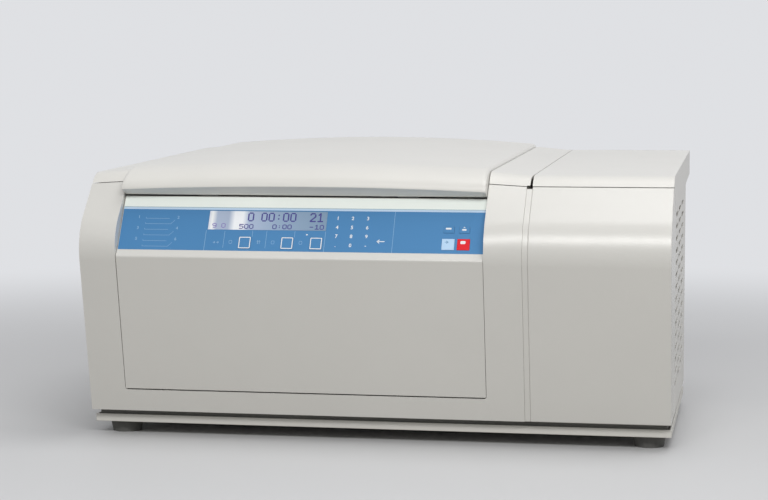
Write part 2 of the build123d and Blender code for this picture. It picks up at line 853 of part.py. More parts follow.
# Drive motor on four rubber mounts
motor_flange = 86.0
motor_low = pan_top + sheet + mount_height
shaft_bore = 12.0
motor_plan = Rectangle(2 * motor_radius, 2 * motor_radius)
motor_plan = chamfer(motor_plan.vertices(), motor_radius / 3)
motor = plan_slab(Rectangle(2 * motor_flange, 2 * motor_flange), motor_low, motor_low + 5)
motor += plan_slab(motor_plan, motor_low, motor_top)
motor -= post(0, 0, motor_top - shaft_bore, motor_top + 1, spindle_radius + fit)
save("motor", Pos(x_mid, chamber_y, 0) * motor)
plate_half = motor_flange + 10
motor_plate = block(
    x_mid - plate_half,
    x_mid + plate_half,
    chamber_y - plate_half,
    chamber_y + plate_half,
    pan_top,
    pan_top + sheet,
)
save("motor_plate", motor_plate)
mounts = Part()
mount_half = 11.0
mount_span = motor_flange - mount_half
for dx in (-1, 1):
    for dy in (-1, 1):
        x = x_mid + dx * mount_span
        y = chamber_y + dy * mount_span
        spots = (x - mount_half, x + mount_half, y - mount_half, y + mount_half)
        mounts += block(*spots, pan_top + sheet, motor_low)
save("motor_mounts", mounts)

# Rotor: spindle, four-armed yoke with trunnion pins, and its cap nut
yoke_low = trunnion_height - yoke_half_height
yoke_high = trunnion_height + yoke_half_height
spindle_low = motor_top - shaft_bore + travel_gap
nut_height = 14.0
save("spindle", post(x_mid, chamber_y, spindle_low, yoke_high, spindle_radius))

arm_face = bucket_half + bucket_pad + 0.7
head_reach = trunnion_radius + 12
head_slope = 22.0
hub_half = trunnion_radius - hypot(bucket_half, bucket_above) - 8
head_points = [
    (hub_half - 14, hub_half - 14),
    (arm_face, hub_half - 14),
    (arm_face + 6, arm_face),
    (head_reach, arm_face),
    (head_reach, arm_face + head_slope),
    (arm_face + head_slope, head_reach),
    (arm_face, head_reach),
    (arm_face, arm_face + 6),
    (hub_half - 14, arm_face),
]
head = polygon(head_points)
yoke_plan = Rectangle(2 * hub_half, 2 * hub_half)
for k in range(4):
    yoke_plan += Rot(0, 0, 90 * k) * head
yoke = plan_slab(yoke_plan, yoke_low, yoke_high)
bore_depth = bucket_pad + 0.9
pad_face = bucket_half + bucket_pad
pin_end = pad_face - bore_depth + 0.2
for k in range(4):
    for side in (-1, 1):
        reach = (arm_face + 8 - pin_end) / 2
        middle = side * (pin_end + reach)
        pin = Rot(90, 0, 0) * Cylinder(trunnion_pin, 2 * reach)
        yoke += Rot(0, 0, 90 * k) * Pos(trunnion_radius, middle, trunnion_height) * pin
yoke -= post(0, 0, yoke_low - 1, yoke_high + 1, spindle_radius)
yoke = Pos(x_mid, chamber_y, 0) * yoke
save("rotor_yoke", yoke)

nut_radius = 17.0
nut = plan_slab(RegularPolygon(nut_radius, 6), yoke_high, yoke_high + nut_height)
nut = chamfer(nut.faces().sort_by(Axis.Z)[-1].edges(), 2)
save("rotor_nut", Pos(x_mid, chamber_y, 0) * nut)

# Buckets: open cups that hang on the trunnion pins by grooves, one per body
bucket_low = trunnion_height - bucket_below
bucket_high = trunnion_height + bucket_above
bucket_corner = 10.0
cup_plan = Rectangle(2 * bucket_half, 2 * bucket_half)
cup_plan = chamfer(cup_plan.vertices(), bucket_corner)
room_plan = offset(cup_plan, amount=-bucket_wall, kind=Kind.INTERSECTION)
cup = plan_slab(cup_plan, bucket_low, bucket_high)
cup -= plan_slab(room_plan, bucket_low + bucket_wall, bucket_high + 1)
pad_half = trunnion_pin + 6
for side in (-1, 1):
    y0, y1 = sorted((side * (bucket_half - 1), side * pad_face))
    cup += block(-pad_half, pad_half, y0, y1, trunnion_height - pad_half, trunnion_height + pad_half)
    y0, y1 = sorted((side * (pad_face - bore_depth), side * (pad_face + 1)))
    bore_half = trunnion_pin + fit
    groove = Pos(0, side * pad_face, trunnion_height) * Rot(90, 0, 0) * Cylinder(bore_half, 2 * bore_depth)
    groove += block(-bore_half, bore_half, y0, y1, trunnion_height - pad_half - 1, trunnion_height)
    cup -= groove
for k in range(4):
    bucket = Rot(0, 0, 90 * k) * Pos(trunnion_radius, 0, 0) * cup
    save(f"bucket_{k + 1}", Pos(x_mid, chamber_y, 0) * bucket)

# Lid: a crowned shell with a bullnose, hollow underneath
lid_left = x_bay_left + lid_gap
lid_right = x_bay_right - lid_gap
lid_back = back - lid_rear_gap
lid_slope = 0.0335
lid_nose_run = 60.0
lid_nose_spread = 1.4


def lid_top(y, crown):
    """Height of the lid's top at y; crown is 0 at the sides and 1 in the middle."""
    share = (y - behind(lid_lip_back)) / (lid_back - behind(lid_lip_back))
    rise = lid_crown_front + (lid_crown_rear - lid_crown_front) * share
    return lid_top_level + (y - front) * lid_slope + crown * rise


def lid_profile(crown, lowering, inset, steps):
    """Side view of the lid: bullnose, top, rear wall and underside."""
    lip_y = behind(lid_lip_back) + inset
    lip_z = lid_lip_height + crown * lid_crown_front + inset
    nose_drop = lid_top(lip_y, crown) - lowering - inset - lip_z
    points = []
    for k in range(steps + 1):
        turn = pi / 2 * (k / steps) ** lid_nose_spread
        y = lip_y + lid_nose_run * (1 - cos(turn))
        points.append((y, lid_top(y, crown) - lowering - inset - nose_drop * (1 - sin(turn))))
    rear_y = lid_back - inset
    points.append((rear_y, lid_top(rear_y, crown) - lowering - inset))
    points.append((rear_y, lid_rear_low + inset))
    points.append((behind(liner_back), lid_bottom + inset))
    points.append((behind(lid_gap_line) + inset, lid_bottom + inset))
    return polygon(points)


def lid_block(inset, round_steps, nose_steps):
    """Lid-shaped block: side views set across its width, with rounded long edges."""
    middle = (lid_left + lid_right) / 2
    half = (lid_right - lid_left) / 2 - inset
    places = []
    for k in range(round_steps):
        turn = pi / 2 * k / round_steps
        places.append((half - lid_side_round * (1 - cos(turn)), lid_side_round * (1 - sin(turn))))
    flat = half - lid_side_round
    places += [(flat * share, 0.0) for share in (1.0, 0.75, 0.5, 0.25)]
    both = [(-x, lowering) for x, lowering in places] + [(0.0, 0.0)] + places[::-1]
    sections = []
    for x, lowering in both:
        crown = 1 - (x / half) ** 2
        profile = lid_profile(crown, lowering, inset, nose_steps)
        sections.append(side_at(profile, middle + x))
    return loft(sections, ruled=True)


lid_shell = lid_block(0, 3, 8) - lid_block(lid_wall, 1, 4)
lid_room = (lid_left + lid_wall, lid_right - lid_wall)
liner_front = lid_gap_line + 6.0
lid_mouth = polygon(
    [
        (behind(liner_front), lid_bottom - 20),
        (behind(liner_front), lid_bottom + lid_wall + 2),
        (behind(liner_back) - 5, lid_bottom + lid_wall + 2),
        (behind(liner_back), lid_rear_low + lid_wall + 2),
        (lid_back - lid_wall, lid_rear_low + lid_wall + 2),
        (lid_back - lid_wall, lid_bottom - 20),
    ]
)
lid_shell -= side_slab(lid_mouth, *lid_room)

# Lid liner with its shallow dished middle
liner_low = lid_bottom + travel_gap
liner_high = liner_low + liner_thickness
liner = block(*lid_room, behind(liner_front), behind(liner_back), liner_low, liner_high)
save("lid_liner", liner)

# Strikers under the lid
striker_low = latch_pivot_height + latch_reach - 16
strikers = Part()
for side in (-1, 1):
    x = x_mid + side * latch_half_span
    plate = block(
        x - striker_width / 2,
        x + striker_width / 2,
        behind(striker_back),
        behind(striker_back + striker_thickness),
        striker_low,
        liner_low,
    )
    window_low = striker_low + 6
    plate -= block(
        x - striker_window / 2,
        x + striker_window / 2,
        behind(striker_back) - 1,
        behind(striker_back + striker_thickness) + 1,
        window_low,
        window_low + 15,
    )
    strikers += plate
save("lid_strikers", strikers)

# Hinge: brackets on the deck, pins, and arms on the lid's liner
hinge_y = behind(hinge_back)
bracket_base = 2.0
ear_inner = hinge_arm_width / 2 + travel_gap
ear_outer = ear_inner + hinge_ear
ear_foot = hinge_eye_radius + 5
ear_section = polygon(
    [
        (hinge_y - ear_foot, deck_height),
        (hinge_y + hinge_eye_radius, deck_height),
        (hinge_y + hinge_eye_radius, hinge_height + 3),
        (hinge_y + 3, hinge_height + hinge_eye_radius),
        (hinge_y - 3, hinge_height + hinge_eye_radius),
        (hinge_y - hinge_eye_radius, hinge_height + 3),
    ]
)
arm_section = polygon(
    [
        (behind(liner_back) - 40, liner_high),
        (behind(liner_back), liner_high),
        (hinge_y + 3, hinge_height - hinge_eye_radius),
        (hinge_y + hinge_eye_radius, hinge_height - 3),
        (hinge_y + hinge_eye_radius, hinge_height + 3),
        (hinge_y + 3, hinge_height + hinge_eye_radius),
        (behind(liner_back) - 40, liner_high + 6),
    ]
)
brackets = Part()
pins = Part()
arms = Part()
for side in (-1, 1):
    x = x_mid + side * hinge_half_span
    bracket = block(x - 16, x + 16, hinge_y - ear_foot, back - 1, deck_height, deck_height + bracket_base)
    for ear in (-1, 1):
        x0, x1 = sorted((x + ear * ear_inner, x + ear * ear_outer))
        bracket += side_slab(ear_section, x0, x1)
    bracket -= rod(x - 20, x + 20, hinge_y, hinge_height, hinge_pin_radius)
    brackets += bracket
    pins += rod(x - ear_outer - 1, x + ear_outer + 1, hinge_y, hinge_height, hinge_pin_radius)
    arm = side_slab(arm_section, x - hinge_arm_width / 2, x + hinge_arm_width / 2)
    arms += arm - rod(x - 20, x + 20, hinge_y, hinge_height, hinge_pin_radius + fit)
    notch_half = ear_outer + 2
    notch_y = lid_back - lid_wall - 1
    notch_high = hinge_height + hinge_eye_radius + 3
    lid_shell -= block(x - notch_half, x + notch_half, notch_y, lid_back + 1, lid_bottom, notch_high)
save("lid_shell", lid_shell)
save("hinge_brackets", brackets)
save("hinge_pins", pins)
save("hinge_arms", arms)

# Latch: one shaft with two hooks, in brackets under the deck, turned by an actuator
latch_y = behind(latch_pivot_back)
hook_width = 6.0
bearing_half_span = latch_half_span + 20
actuator_start = bearing_half_span + 8
hook_points = [
    (-9, -8),
    (7, -8),
    (7, latch_reach),
    (-latch_nose, latch_reach),
    (-latch_nose, latch_reach - 6),
    (-5, latch_reach - 6),
]
hook_profile = polygon(hook_points)
hooks = Part()
for side in (-1, 1):
    x = x_mid + side * latch_half_span
    hook = side_slab(hook_profile, -hook_width / 2, hook_width / 2)
    hook -= rod(-hook_width, hook_width, 0, 0, latch_shaft_radius)
    hooks += Pos(x, latch_y, latch_pivot_height) * Rot(-latch_open_angle, 0, 0) * hook
save("latch_hooks", hooks)
shaft_left = x_mid - bearing_half_span - 6
shaft_right = x_mid + actuator_start + 8
save("latch_shaft", rod(shaft_left, shaft_right, latch_y, latch_pivot_height, latch_shaft_radius))
bearings = Part()
for side in (-1, 1):
    x = x_mid + side * bearing_half_span
    plate = block(x - 2.5, x + 2.5, latch_y - 11, latch_y + 11, latch_pivot_height - 10, bowl_top)
    plate += block(x - 6, x + 2.5, latch_y - 11, latch_y + 11, bowl_top - 3, bowl_top)
    if side < 0:
        plate = mirror(plate, about=Plane.YZ.offset(x))
    bearings += plate - rod(x - 20, x + 20, latch_y, latch_pivot_height, latch_shaft_radius + fit)
save("latch_brackets", bearings)
actuator_x = x_mid + actuator_start
actuator_points = [
    (latch_y - 16, latch_pivot_height - 18),
    (latch_y + 20, latch_pivot_height - 18),
    (latch_y + 20, bowl_top - 3),
    (latch_y - 16, bowl_top - 3),
]
actuator = side_slab(polygon(actuator_points), actuator_x, actuator_x + 34)
actuator += block(actuator_x, actuator_x + 34, latch_y - 6, latch_y + 6, bowl_top - 8, bowl_top)
actuator -= rod(actuator_x - 1, actuator_x + 9, latch_y, latch_pivot_height, latch_shaft_radius + fit)
save("latch_actuator", actuator)

# Cooling module: compressor, condenser, fan and power electronics
compressor_y = behind(compressor_back)
compressor_x = x_module_mid
compressor_low = pan_top + 10
compressor_high = 195.0
shell_corner = 24.0
shell_plan = Rectangle(2 * compressor_radius - 6, 2 * compressor_radius)
shell_plan = chamfer(shell_plan.vertices(), shell_corner)
compressor = plan_slab(Pos(compressor_x, compressor_y) * shell_plan, compressor_low, compressor_high)
compressor = chamfer(compressor.faces().sort_by(Axis.Z)[-1].edges(), 14)
for dx in (-1, 1):
    for dy in (-1, 1):
        x = compressor_x + dx * compressor_radius * 0.72
        y = compressor_y + dy * compressor_radius * 0.72
        compressor += block(x - 9, x + 9, y - 9, y + 9, pan_top, compressor_low + 12)
terminal_half = 20.0
terminal_low = 110.0
terminal_high = 150.0
compressor += block(
    compressor_x - terminal_half,
    compressor_x + terminal_half,
    compressor_y - compressor_radius - 8,
    compressor_y,
    terminal_low,
    terminal_high,
)
save("compressor", compressor)

condenser_gap = 6.0
condenser_x1 = x_right - flange - condenser_gap / 2
condenser_x0 = condenser_x1 - condenser_thickness
condenser_y0 = behind(return_depth) + 5
condenser_y1 = compressor_y - compressor_radius - 12
condenser_high = deck_height - 21.0
condenser = block(condenser_x0, condenser_x1, condenser_y0, condenser_y1, pan_top, condenser_high)
fin_pitch = 16.0
fin_count = int((condenser_high - pan_top - 30) / fin_pitch)
for k in range(fin_count):
    z = pan_top + 22 + k * fin_pitch
    groove_span = (condenser_y0 + 8, condenser_y1 - 8)
    condenser -= block(condenser_x1 - 6, condenser_x1 + 1, *groove_span, z, z + fin_pitch / 2)
save("condenser", condenser)

fan_y = (condenser_y0 + condenser_y1) / 2
fan_radius = (condenser_y1 - condenser_y0) / 2 - 12
shroud_depth = 22.0
shroud_x1 = condenser_x0
shroud_x0 = shroud_x1 - shroud_depth
fan_clear = 3.0
shroud_half = fan_radius + fan_clear + 4
shroud_span = (fan_y - shroud_half, fan_y + shroud_half)
shroud = block(shroud_x0, shroud_x1, *shroud_span, fan_height - shroud_half, fan_height + shroud_half)
shroud -= rod(shroud_x0 - 1, shroud_x1 + 1, fan_y, fan_height, fan_radius + fan_clear)
shroud += block(shroud_x1 - 3, shroud_x1, *shroud_span, pan_top, fan_height - shroud_half)
spoke_depth = 6.0
spoke_x0 = shroud_x0 - spoke_depth
motor_x1 = shroud_x0
motor_x0 = motor_x1 - 32
fan_motor_half = 20.0
bridge = block(spoke_x0, shroud_x0, *shroud_span, fan_height - 5, fan_height + 5)
bridge += block(spoke_x0, shroud_x0, fan_y - 26, fan_y + 26, fan_height - 26, fan_height + 26)
fan_motor_plan = Rectangle(2 * fan_motor_half, 2 * fan_motor_half)
fan_motor_plan = chamfer(fan_motor_plan.vertices(), 6)
fan_motor = side_slab(Pos(fan_y, fan_height) * fan_motor_plan, motor_x0, motor_x1)
shroud += bridge - side_slab(Pos(fan_y, fan_height) * fan_motor_plan, spoke_x0 - 1, shroud_x0 + 1)
fan_shaft = 3.0
fan_motor += rod(motor_x1, motor_x1 + 14, fan_y, fan_height, fan_shaft)
save("fan_motor", fan_motor)
hub_x0 = motor_x1 + 3
hub_x1 = hub_x0 + 14
fan = rod(hub_x0, hub_x1, 0, 0, 20)
blade_plan = Rot(0, 0, 28) * Rectangle(15, 1.6)
for k in range(5):
    blade = extrude(Pos((hub_x0 + hub_x1) / 2, 0, 17) * blade_plan, amount=fan_radius - 17)
    fan += Rot(72 * k, 0, 0) * blade
fan -= rod(hub_x0 - 1, hub_x0 + 12, 0, 0, fan_shaft + fit)
save("fan_rotor", Pos(0, fan_y, fan_height) * fan)

power_depth = 38.0
power_fin = 10.0
power_fin_pitch = 21.0
power_x0 = room_left
power_x1 = power_x0 + power_depth
power_y0 = behind(return_depth) + 12
power_y1 = condenser_y1 - 23
power_low = deck_height - 211.0
power_high = deck_height - 61.0
power = block(power_x0, power_x0 + 8, power_y0, power_y1, power_low, power_high)
for k in range(1 + int((power_y1 - power_y0 - power_fin - 4) / power_fin_pitch)):
    y = power_y0 + 4 + k * power_fin_pitch
    power += block(power_x0 + 7, power_x1, y, y + power_fin, power_low + 10, power_high - 10)
save("power_module", power)

# Refrigerant lines: suction to the compressor, liquid through the drier, discharge to the condenser
line_radius = 5.0
suction_z = 150.0
liquid_z = 72.0
drier_radius = 11.0
drier_length = 60.0
liquid_y = condenser_y1 - drier_radius + 2


def evaporator_side(y):
    """x where a line along X meets the evaporator."""
    corner = evaporator_out / cos(pi / evaporator_flats)
    return x_mid + sqrt(corner**2 - (y - chamber_y) ** 2)


shell_side = compressor_x - compressor_radius + 3
suction = rod(evaporator_side(compressor_y - line_radius), shell_side, compressor_y, suction_z, line_radius)
liquid_start = x_mid + insulation_radius - 12
drier_x0 = x_module + 50
drier_x1 = drier_x0 + drier_length
liquid_in = rod(liquid_start, drier_x0, liquid_y, liquid_z, line_radius)
liquid_out = rod(drier_x1, condenser_x0, liquid_y, liquid_z, line_radius)
save("filter_drier", rod(drier_x0, drier_x1, liquid_y, liquid_z, drier_radius))
discharge_path = Polyline(
    (compressor_x, compressor_y, compressor_high),
    (compressor_x, compressor_y, compressor_high + 40),
    (condenser_x0 + 14, compressor_y, compressor_high + 40),
    (condenser_x0 + 14, condenser_y1, compressor_high + 40),
)
discharge_end = Plane(discharge_path @ 0, z_dir=(0, 0, 1)) * Circle(4)
discharge = sweep(discharge_end, path=discharge_path, transition=Transition.RIGHT)
lines = Part() + suction + liquid_in + liquid_out + discharge
save("refrigerant_lines", lines)

# Ports for the lines in the foam and in the two walls of the joint
port_gap = 0.5
port_half = line_radius + port_gap


def port(x0, x1, y, z):
    """Square way for a line through a wall."""
    return block(x0, x1, y - port_half, y + port_half, z - port_half, z + port_half)


suction_port = port(x_mid, shell_side - 1, compressor_y, suction_z)
liquid_port = port(x_mid + insulation_radius - 13, drier_x0, liquid_y, liquid_z)
foam -= suction_port
foam -= liquid_port
save("insulation", foam)
right_panel -= suction_port
right_panel -= liquid_port
save("right_side_panel", right_panel)
module_cover -= suction_port
module_cover -= liquid_port
save("module_cover", module_cover)
shroud_port = port(shroud_x0, shroud_x1 + 1, liquid_y, liquid_z)
save("fan_shroud", shroud - shroud_port)
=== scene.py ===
# %% [markdown]
# # A refrigerated benchtop centrifuge, dressed for its portrait
# The measured model already holds every piece in its place, in metres. This script keeps that frame and
# gives each piece its look: softened moulding edges, a printed panel foil, plastic, rubber and metal.

# %% Load the measured model and keep its size
import json
from math import atan2, cos, hypot, pi, radians, sin

import bmesh
import bpy
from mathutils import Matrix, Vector


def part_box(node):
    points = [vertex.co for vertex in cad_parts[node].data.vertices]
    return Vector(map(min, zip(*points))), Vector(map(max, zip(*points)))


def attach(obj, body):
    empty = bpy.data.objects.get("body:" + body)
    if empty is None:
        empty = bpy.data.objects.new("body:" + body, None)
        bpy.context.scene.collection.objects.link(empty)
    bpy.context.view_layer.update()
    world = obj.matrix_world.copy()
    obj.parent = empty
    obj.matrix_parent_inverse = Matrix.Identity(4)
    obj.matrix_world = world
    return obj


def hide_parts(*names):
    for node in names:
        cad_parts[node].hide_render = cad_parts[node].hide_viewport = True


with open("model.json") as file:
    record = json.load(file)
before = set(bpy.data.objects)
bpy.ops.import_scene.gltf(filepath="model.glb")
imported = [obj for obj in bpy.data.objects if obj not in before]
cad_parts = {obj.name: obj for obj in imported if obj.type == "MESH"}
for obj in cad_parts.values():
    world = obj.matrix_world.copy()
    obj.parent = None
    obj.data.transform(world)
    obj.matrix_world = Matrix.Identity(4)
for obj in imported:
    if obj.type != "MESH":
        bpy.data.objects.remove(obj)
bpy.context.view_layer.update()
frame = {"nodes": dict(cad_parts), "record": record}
nodes = frame["nodes"]
body_of = {name: body for body, names in frame["record"]["behaviour"]["bodies"].items() for name in names}

# %% [markdown]
# The camera stands where the photographer stood: a little right of the middle, just above the lid, with a
# long lens. It could be aimed by eye, but a place and lens worked out from the straight edges of the
# housing let the picture be laid over the photograph.

# %% Camera
camera_place = (0.47425, -2.74417, 0.43853)
camera_tilt = radians(85.653)
camera_turn = radians(10.514)
bpy.ops.object.camera_add(location=camera_place, rotation=(camera_tilt, 0, camera_turn))
camera = bpy.context.object
camera.name = "portrait_camera"
camera.data.lens = 94.58
camera.data.sensor_width = 36.0
bpy.context.scene.camera = camera
print("camera at", camera_place)

# %% [markdown]
# The control panel is a slope, so a place on it is given in millimetres as u to the right, v up the slope
# and h above the foil. One function turns such a place into metres in the frame, so that no mark has to be
# turned by hand.

# %% Places on the control panel
mm = 0.001
machine_front = -302.5
panel_set_back = 8.5
panel_top_back = 46.4
panel_low = 245.0
panel_high = 311.5
fascia_low, fascia_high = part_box("fascia")
panel_middle = (fascia_low.x + fascia_high.x) / 2
panel_foot = Vector((panel_middle, (machine_front + panel_set_back) * mm, panel_low * mm))
panel_angle = atan2(panel_top_back - panel_set_back, panel_high - panel_low)
panel_up = Vector((0, sin(panel_angle), cos(panel_angle)))
panel_out = Vector((0, -cos(panel_angle), sin(panel_angle)))
panel_turn = (pi / 2 - panel_angle, 0, 0)


def on_panel(u, v, h=0.0):
    """The point at u and v millimetres on the panel, h millimetres above the foil."""
    return panel_foot + Vector((u * mm, 0, 0)) + panel_up * (v * mm) + panel_out * (h * mm)


print("panel leans back by", round(panel_angle, 3), "radians")

# %% [markdown]
# Materials here are built from nodes in code. A few helpers make each node and its links in one line, and
# take either a plain value or another node's socket.

# %% Node helpers


def opaque(colour):
    """A colour with full opacity, as colour sockets want it."""
    return (*colour, 1)


def feed(tree, socket, value):
    """Sets a socket, or links it where the value is another node's socket."""
    if isinstance(value, bpy.types.NodeSocket):
        tree.links.new(value, socket)
    else:
        socket.default_value = value


def maths(tree, operation, *values):
    """The result of a maths node on numbers or sockets."""
    node = tree.nodes.new("ShaderNodeMath")
    node.operation = operation
    for socket, value in zip(node.inputs, values):
        feed(tree, socket, value)
    return node.outputs["Value"]


def stretched(tree, value, low, high, new_low=0.0, new_high=1.0, curve="LINEAR"):
    """A value whose range from low to high is stretched to a new range and cut off past its ends."""
    node = tree.nodes.new("ShaderNodeMapRange")
    node.interpolation_type = curve
    feed(tree, node.inputs["Value"], value)
    node.inputs["From Min"].default_value = low
    node.inputs["From Max"].default_value = high
    node.inputs["To Min"].default_value = new_low
    node.inputs["To Max"].default_value = new_high
    return node.outputs["Result"]


def mixed(tree, share, first, second):
    """The first colour where the share is 0 and the second where it is 1."""
    node = tree.nodes.new("ShaderNodeMix")
    node.data_type = "RGBA"
    feed(tree, node.inputs["Factor"], share)
    feed(tree, node.inputs["A"], first)
    feed(tree, node.inputs["B"], second)
    return node.outputs["Result"]


# %% [markdown]
# Patterns read the place of each point on its object, so they stay put when a lid or a key moves. Noise is
# made in one helper, and a group in another, since each is needed several times.

# %% Patterns and groups


def object_place(tree):
    """The place of the shaded point, in the frame's metres."""
    return tree.nodes.new("ShaderNodeTexCoord").outputs["Object"]


def noise_in(tree, scale, detail):
    """Soft random patches, fixed to the object."""
    noise = tree.nodes.new("ShaderNodeTexNoise")
    feed(tree, noise.inputs["Vector"], object_place(tree))
    feed(tree, noise.inputs["Scale"], scale)
    noise.inputs["Detail"].default_value = detail
    return noise.outputs["Fac"]


def new_group(name, inputs, outputs):
    """An empty shader node group with the named sockets; returns the group and its two end nodes."""
    group = bpy.data.node_groups.new(name, "ShaderNodeTree")
    for socket, kind, value in inputs:
        made = group.interface.new_socket(socket, in_out="INPUT", socket_type=kind)
        made.default_value = value
    for socket, kind in outputs:
        group.interface.new_socket(socket, in_out="OUTPUT", socket_type=kind)
    return group, group.nodes.new("NodeGroupInput"), group.nodes.new("NodeGroupOutput")


# %% [markdown]
# Three effects recur on most surfaces, so each is a node group, built once. The first is a fine grain, as a
# mould's etched wall leaves it, which breaks up a highlight. Real geometry this fine would be far too
# heavy.

# %% Fine grain


def make_grain():
    """A height that changes from grain to grain."""
    group, given, result = new_group(
        "fine grain",
        [("Scale", "NodeSocketFloat", 900.0)],
        [("Height", "NodeSocketFloat")],
    )
    feed(group, result.inputs["Height"], noise_in(group, given.outputs["Scale"], 3.0))
    return group


grain = make_grain()
print("group:", grain.name)

# %% [markdown]
# The second is a broad mottling. It makes the colour a touch lighter and darker in patches a hand wide,
# which keeps a big panel from looking flat.

# %% Broad mottling
mottle_scale = 9.0


def make_mottle():
    """A colour made lighter and darker in broad patches, by up to the amount."""
    group, given, result = new_group(
        "broad mottling",
        [("Color", "NodeSocketColor", (0.7, 0.7, 0.7, 1)), ("Amount", "NodeSocketFloat", 0.04)],
        [("Color", "NodeSocketColor")],
    )
    patches = stretched(group, noise_in(group, mottle_scale, 4.0), 0.3, 0.7, -1.0, 1.0)
    tint = group.nodes.new("ShaderNodeVectorMath")
    tint.operation = "SCALE"
    feed(group, tint.inputs[0], given.outputs["Color"])
    feed(group, tint.inputs["Scale"], maths(group, "MULTIPLY_ADD", patches, given.outputs["Amount"], 1.0))
    feed(group, result.inputs["Color"], tint.outputs["Vector"])
    return group


mottle = make_mottle()
print("group:", mottle.name)

# %% [markdown]
# The third is dust, which settles in patches on faces that look up. The mask reads the direction that each
# face looks in, so no face has to be picked by hand.

# %% Settled dust


def make_dust():
    """A mask that is strongest in patches on faces that look up."""
    group, given, result = new_group(
        "settled dust",
        [("Amount", "NodeSocketFloat", 0.15), ("Scale", "NodeSocketFloat", 60.0)],
        [("Mask", "NodeSocketFloat")],
    )
    split = group.nodes.new("ShaderNodeSeparateXYZ")
    feed(group, split.inputs[0], group.nodes.new("ShaderNodeNewGeometry").outputs["Normal"])
    upward = stretched(group, split.outputs["Z"], 0.55, 1.0)
    patches = stretched(group, noise_in(group, given.outputs["Scale"], 6.0), 0.42, 0.75)
    settled = maths(group, "MULTIPLY", upward, patches)
    feed(group, result.inputs["Mask"], maths(group, "MULTIPLY", settled, given.outputs["Amount"]))
    return group


dust = make_dust()
print("group:", dust.name)

# %% [markdown]
# One recipe serves every opaque finish: a base colour with mottling and a little dust, a roughness, and the
# grain as a bump. What differs is the colour, the gloss and how coarse and deep the grain is.

# %% Finish recipe
dust_colour = (0.55, 0.53, 0.49)
bump_depth = 1.0


def placed(tree, group, **values):
    """A node that holds a group, with its named inputs set."""
    node = tree.nodes.new("ShaderNodeGroup")
    node.node_tree = group
    for name, value in values.items():
        node.inputs[name].default_value = value
    return node


def finish(
    name,
    colour,
    roughness,
    metallic=0.0,
    specular=0.5,
    mottling=0.03,
    grain_scale=900.0,
    bump=0.02,
    dusty=0.1,
):
    """An opaque material with mottling, dust and grain."""
    material = bpy.data.materials.new(name)
    material.use_nodes = True
    tree = material.node_tree
    shader = tree.nodes["Principled BSDF"]
    shader.inputs["Roughness"].default_value = roughness
    shader.inputs["Metallic"].default_value = metallic
    shader.inputs["Specular IOR Level"].default_value = specular
    mottled = placed(tree, mottle, Color=opaque(colour), Amount=mottling)
    dusting = placed(tree, dust, Amount=dusty)
    surface = placed(tree, grain, Scale=grain_scale)
    relief = tree.nodes.new("ShaderNodeBump")
    relief.inputs["Strength"].default_value = bump
    relief.inputs["Distance"].default_value = bump_depth * mm
    feed(tree, relief.inputs["Height"], surface.outputs["Height"])
    dusted = mixed(tree, dusting.outputs["Mask"], mottled.outputs["Color"], opaque(dust_colour))
    feed(tree, shader.inputs["Base Color"], dusted)
    feed(tree, shader.inputs["Normal"], relief.outputs["Normal"])
    return material


def recolour(material, pattern):
    """Gives a finish a colour that changes over the surface, in place of its plain one."""
    tree = material.node_tree
    mottled = next(node for node in tree.nodes if node.type == "GROUP" and node.node_tree == mottle)
    feed(tree, mottled.inputs["Color"], pattern)


print("bumps are up to", bump_depth, "mm deep")


# %% [markdown]
# The housing is moulded in a warm off-white with an etched grain. The front mouldings are glossier than the
# covers, which lets a lamp draw a bright line along the nose.

# %% Off-white finishes
moulded = dict(grain_scale=1500.0, bump=0.12, mottling=0.012, dusty=0.03)
moulding = finish("off-white moulding", (0.685, 0.676, 0.648), 0.27, specular=0.8, **moulded)
cover_finish = finish("off-white cover", (0.745, 0.735, 0.705), 0.34, **moulded)
enamel = finish(
    "off-white enamel", (0.70, 0.69, 0.655), 0.45, grain_scale=700.0, bump=0.15, mottling=0.02, dusty=0.03
)
liner_finish = finish("liner plastic", (0.62, 0.62, 0.60), 0.5)
print(moulding.name, cover_finish.name, enamel.name, liner_finish.name, sep=", ")

# %% [markdown]
# Plastic, rubber, foam and paint differ from each other mostly in roughness and in how coarse their grain
# is. Each could be built from nodes of its own, but one recipe with other numbers keeps them easy to
# compare.

# %% Dark and soft finishes
dark_plastic = finish("black plastic", (0.012, 0.012, 0.013), 0.42, grain_scale=600.0, bump=0.2)
rubber = finish("grey rubber", (0.12, 0.12, 0.115), 0.75, grain_scale=400.0, bump=0.3, dusty=0.3)
dark_rubber = finish("black rubber", (0.02, 0.02, 0.02), 0.7, grain_scale=400.0, bump=0.3, dusty=0.2)
# Painted shade: this dark grey stands in for shade deep in the recess under the panels.
painted_shade_rail = finish("rail with painted shade", (0.17, 0.17, 0.16), 0.8, grain_scale=400.0, bump=0.2)
foam_finish = finish("cream foam", (0.66, 0.56, 0.34), 0.9, grain_scale=250.0, bump=0.6)
board_finish = finish("green circuit board", (0.015, 0.11, 0.05), 0.4, grain_scale=300.0, bump=0.2)
motor_paint = finish("dark motor paint", (0.05, 0.052, 0.055), 0.5, grain_scale=300.0, bump=0.3)
black_enamel = finish("black enamel", (0.012, 0.012, 0.012), 0.3, grain_scale=200.0, bump=0.1)
# Partly painted shade: the condenser's fins are darkened so that the side slots look dark.
fins_dark_with_painted_shade = finish("dark fins with painted shade", (0.05, 0.05, 0.05), 0.6, grain_scale=300.0, bump=0.2)
print(rubber.name, foam_finish.name, motor_paint.name, black_enamel.name, sep=", ")

# %% [markdown]
# Bare metal has no colour of its own under its shine: Metallic is 1, and the base colour tints what it
# mirrors. A picture of brushed steel could be wrapped round each part, but a fine grain in the bump softens
# the shine in the same way on any shape.

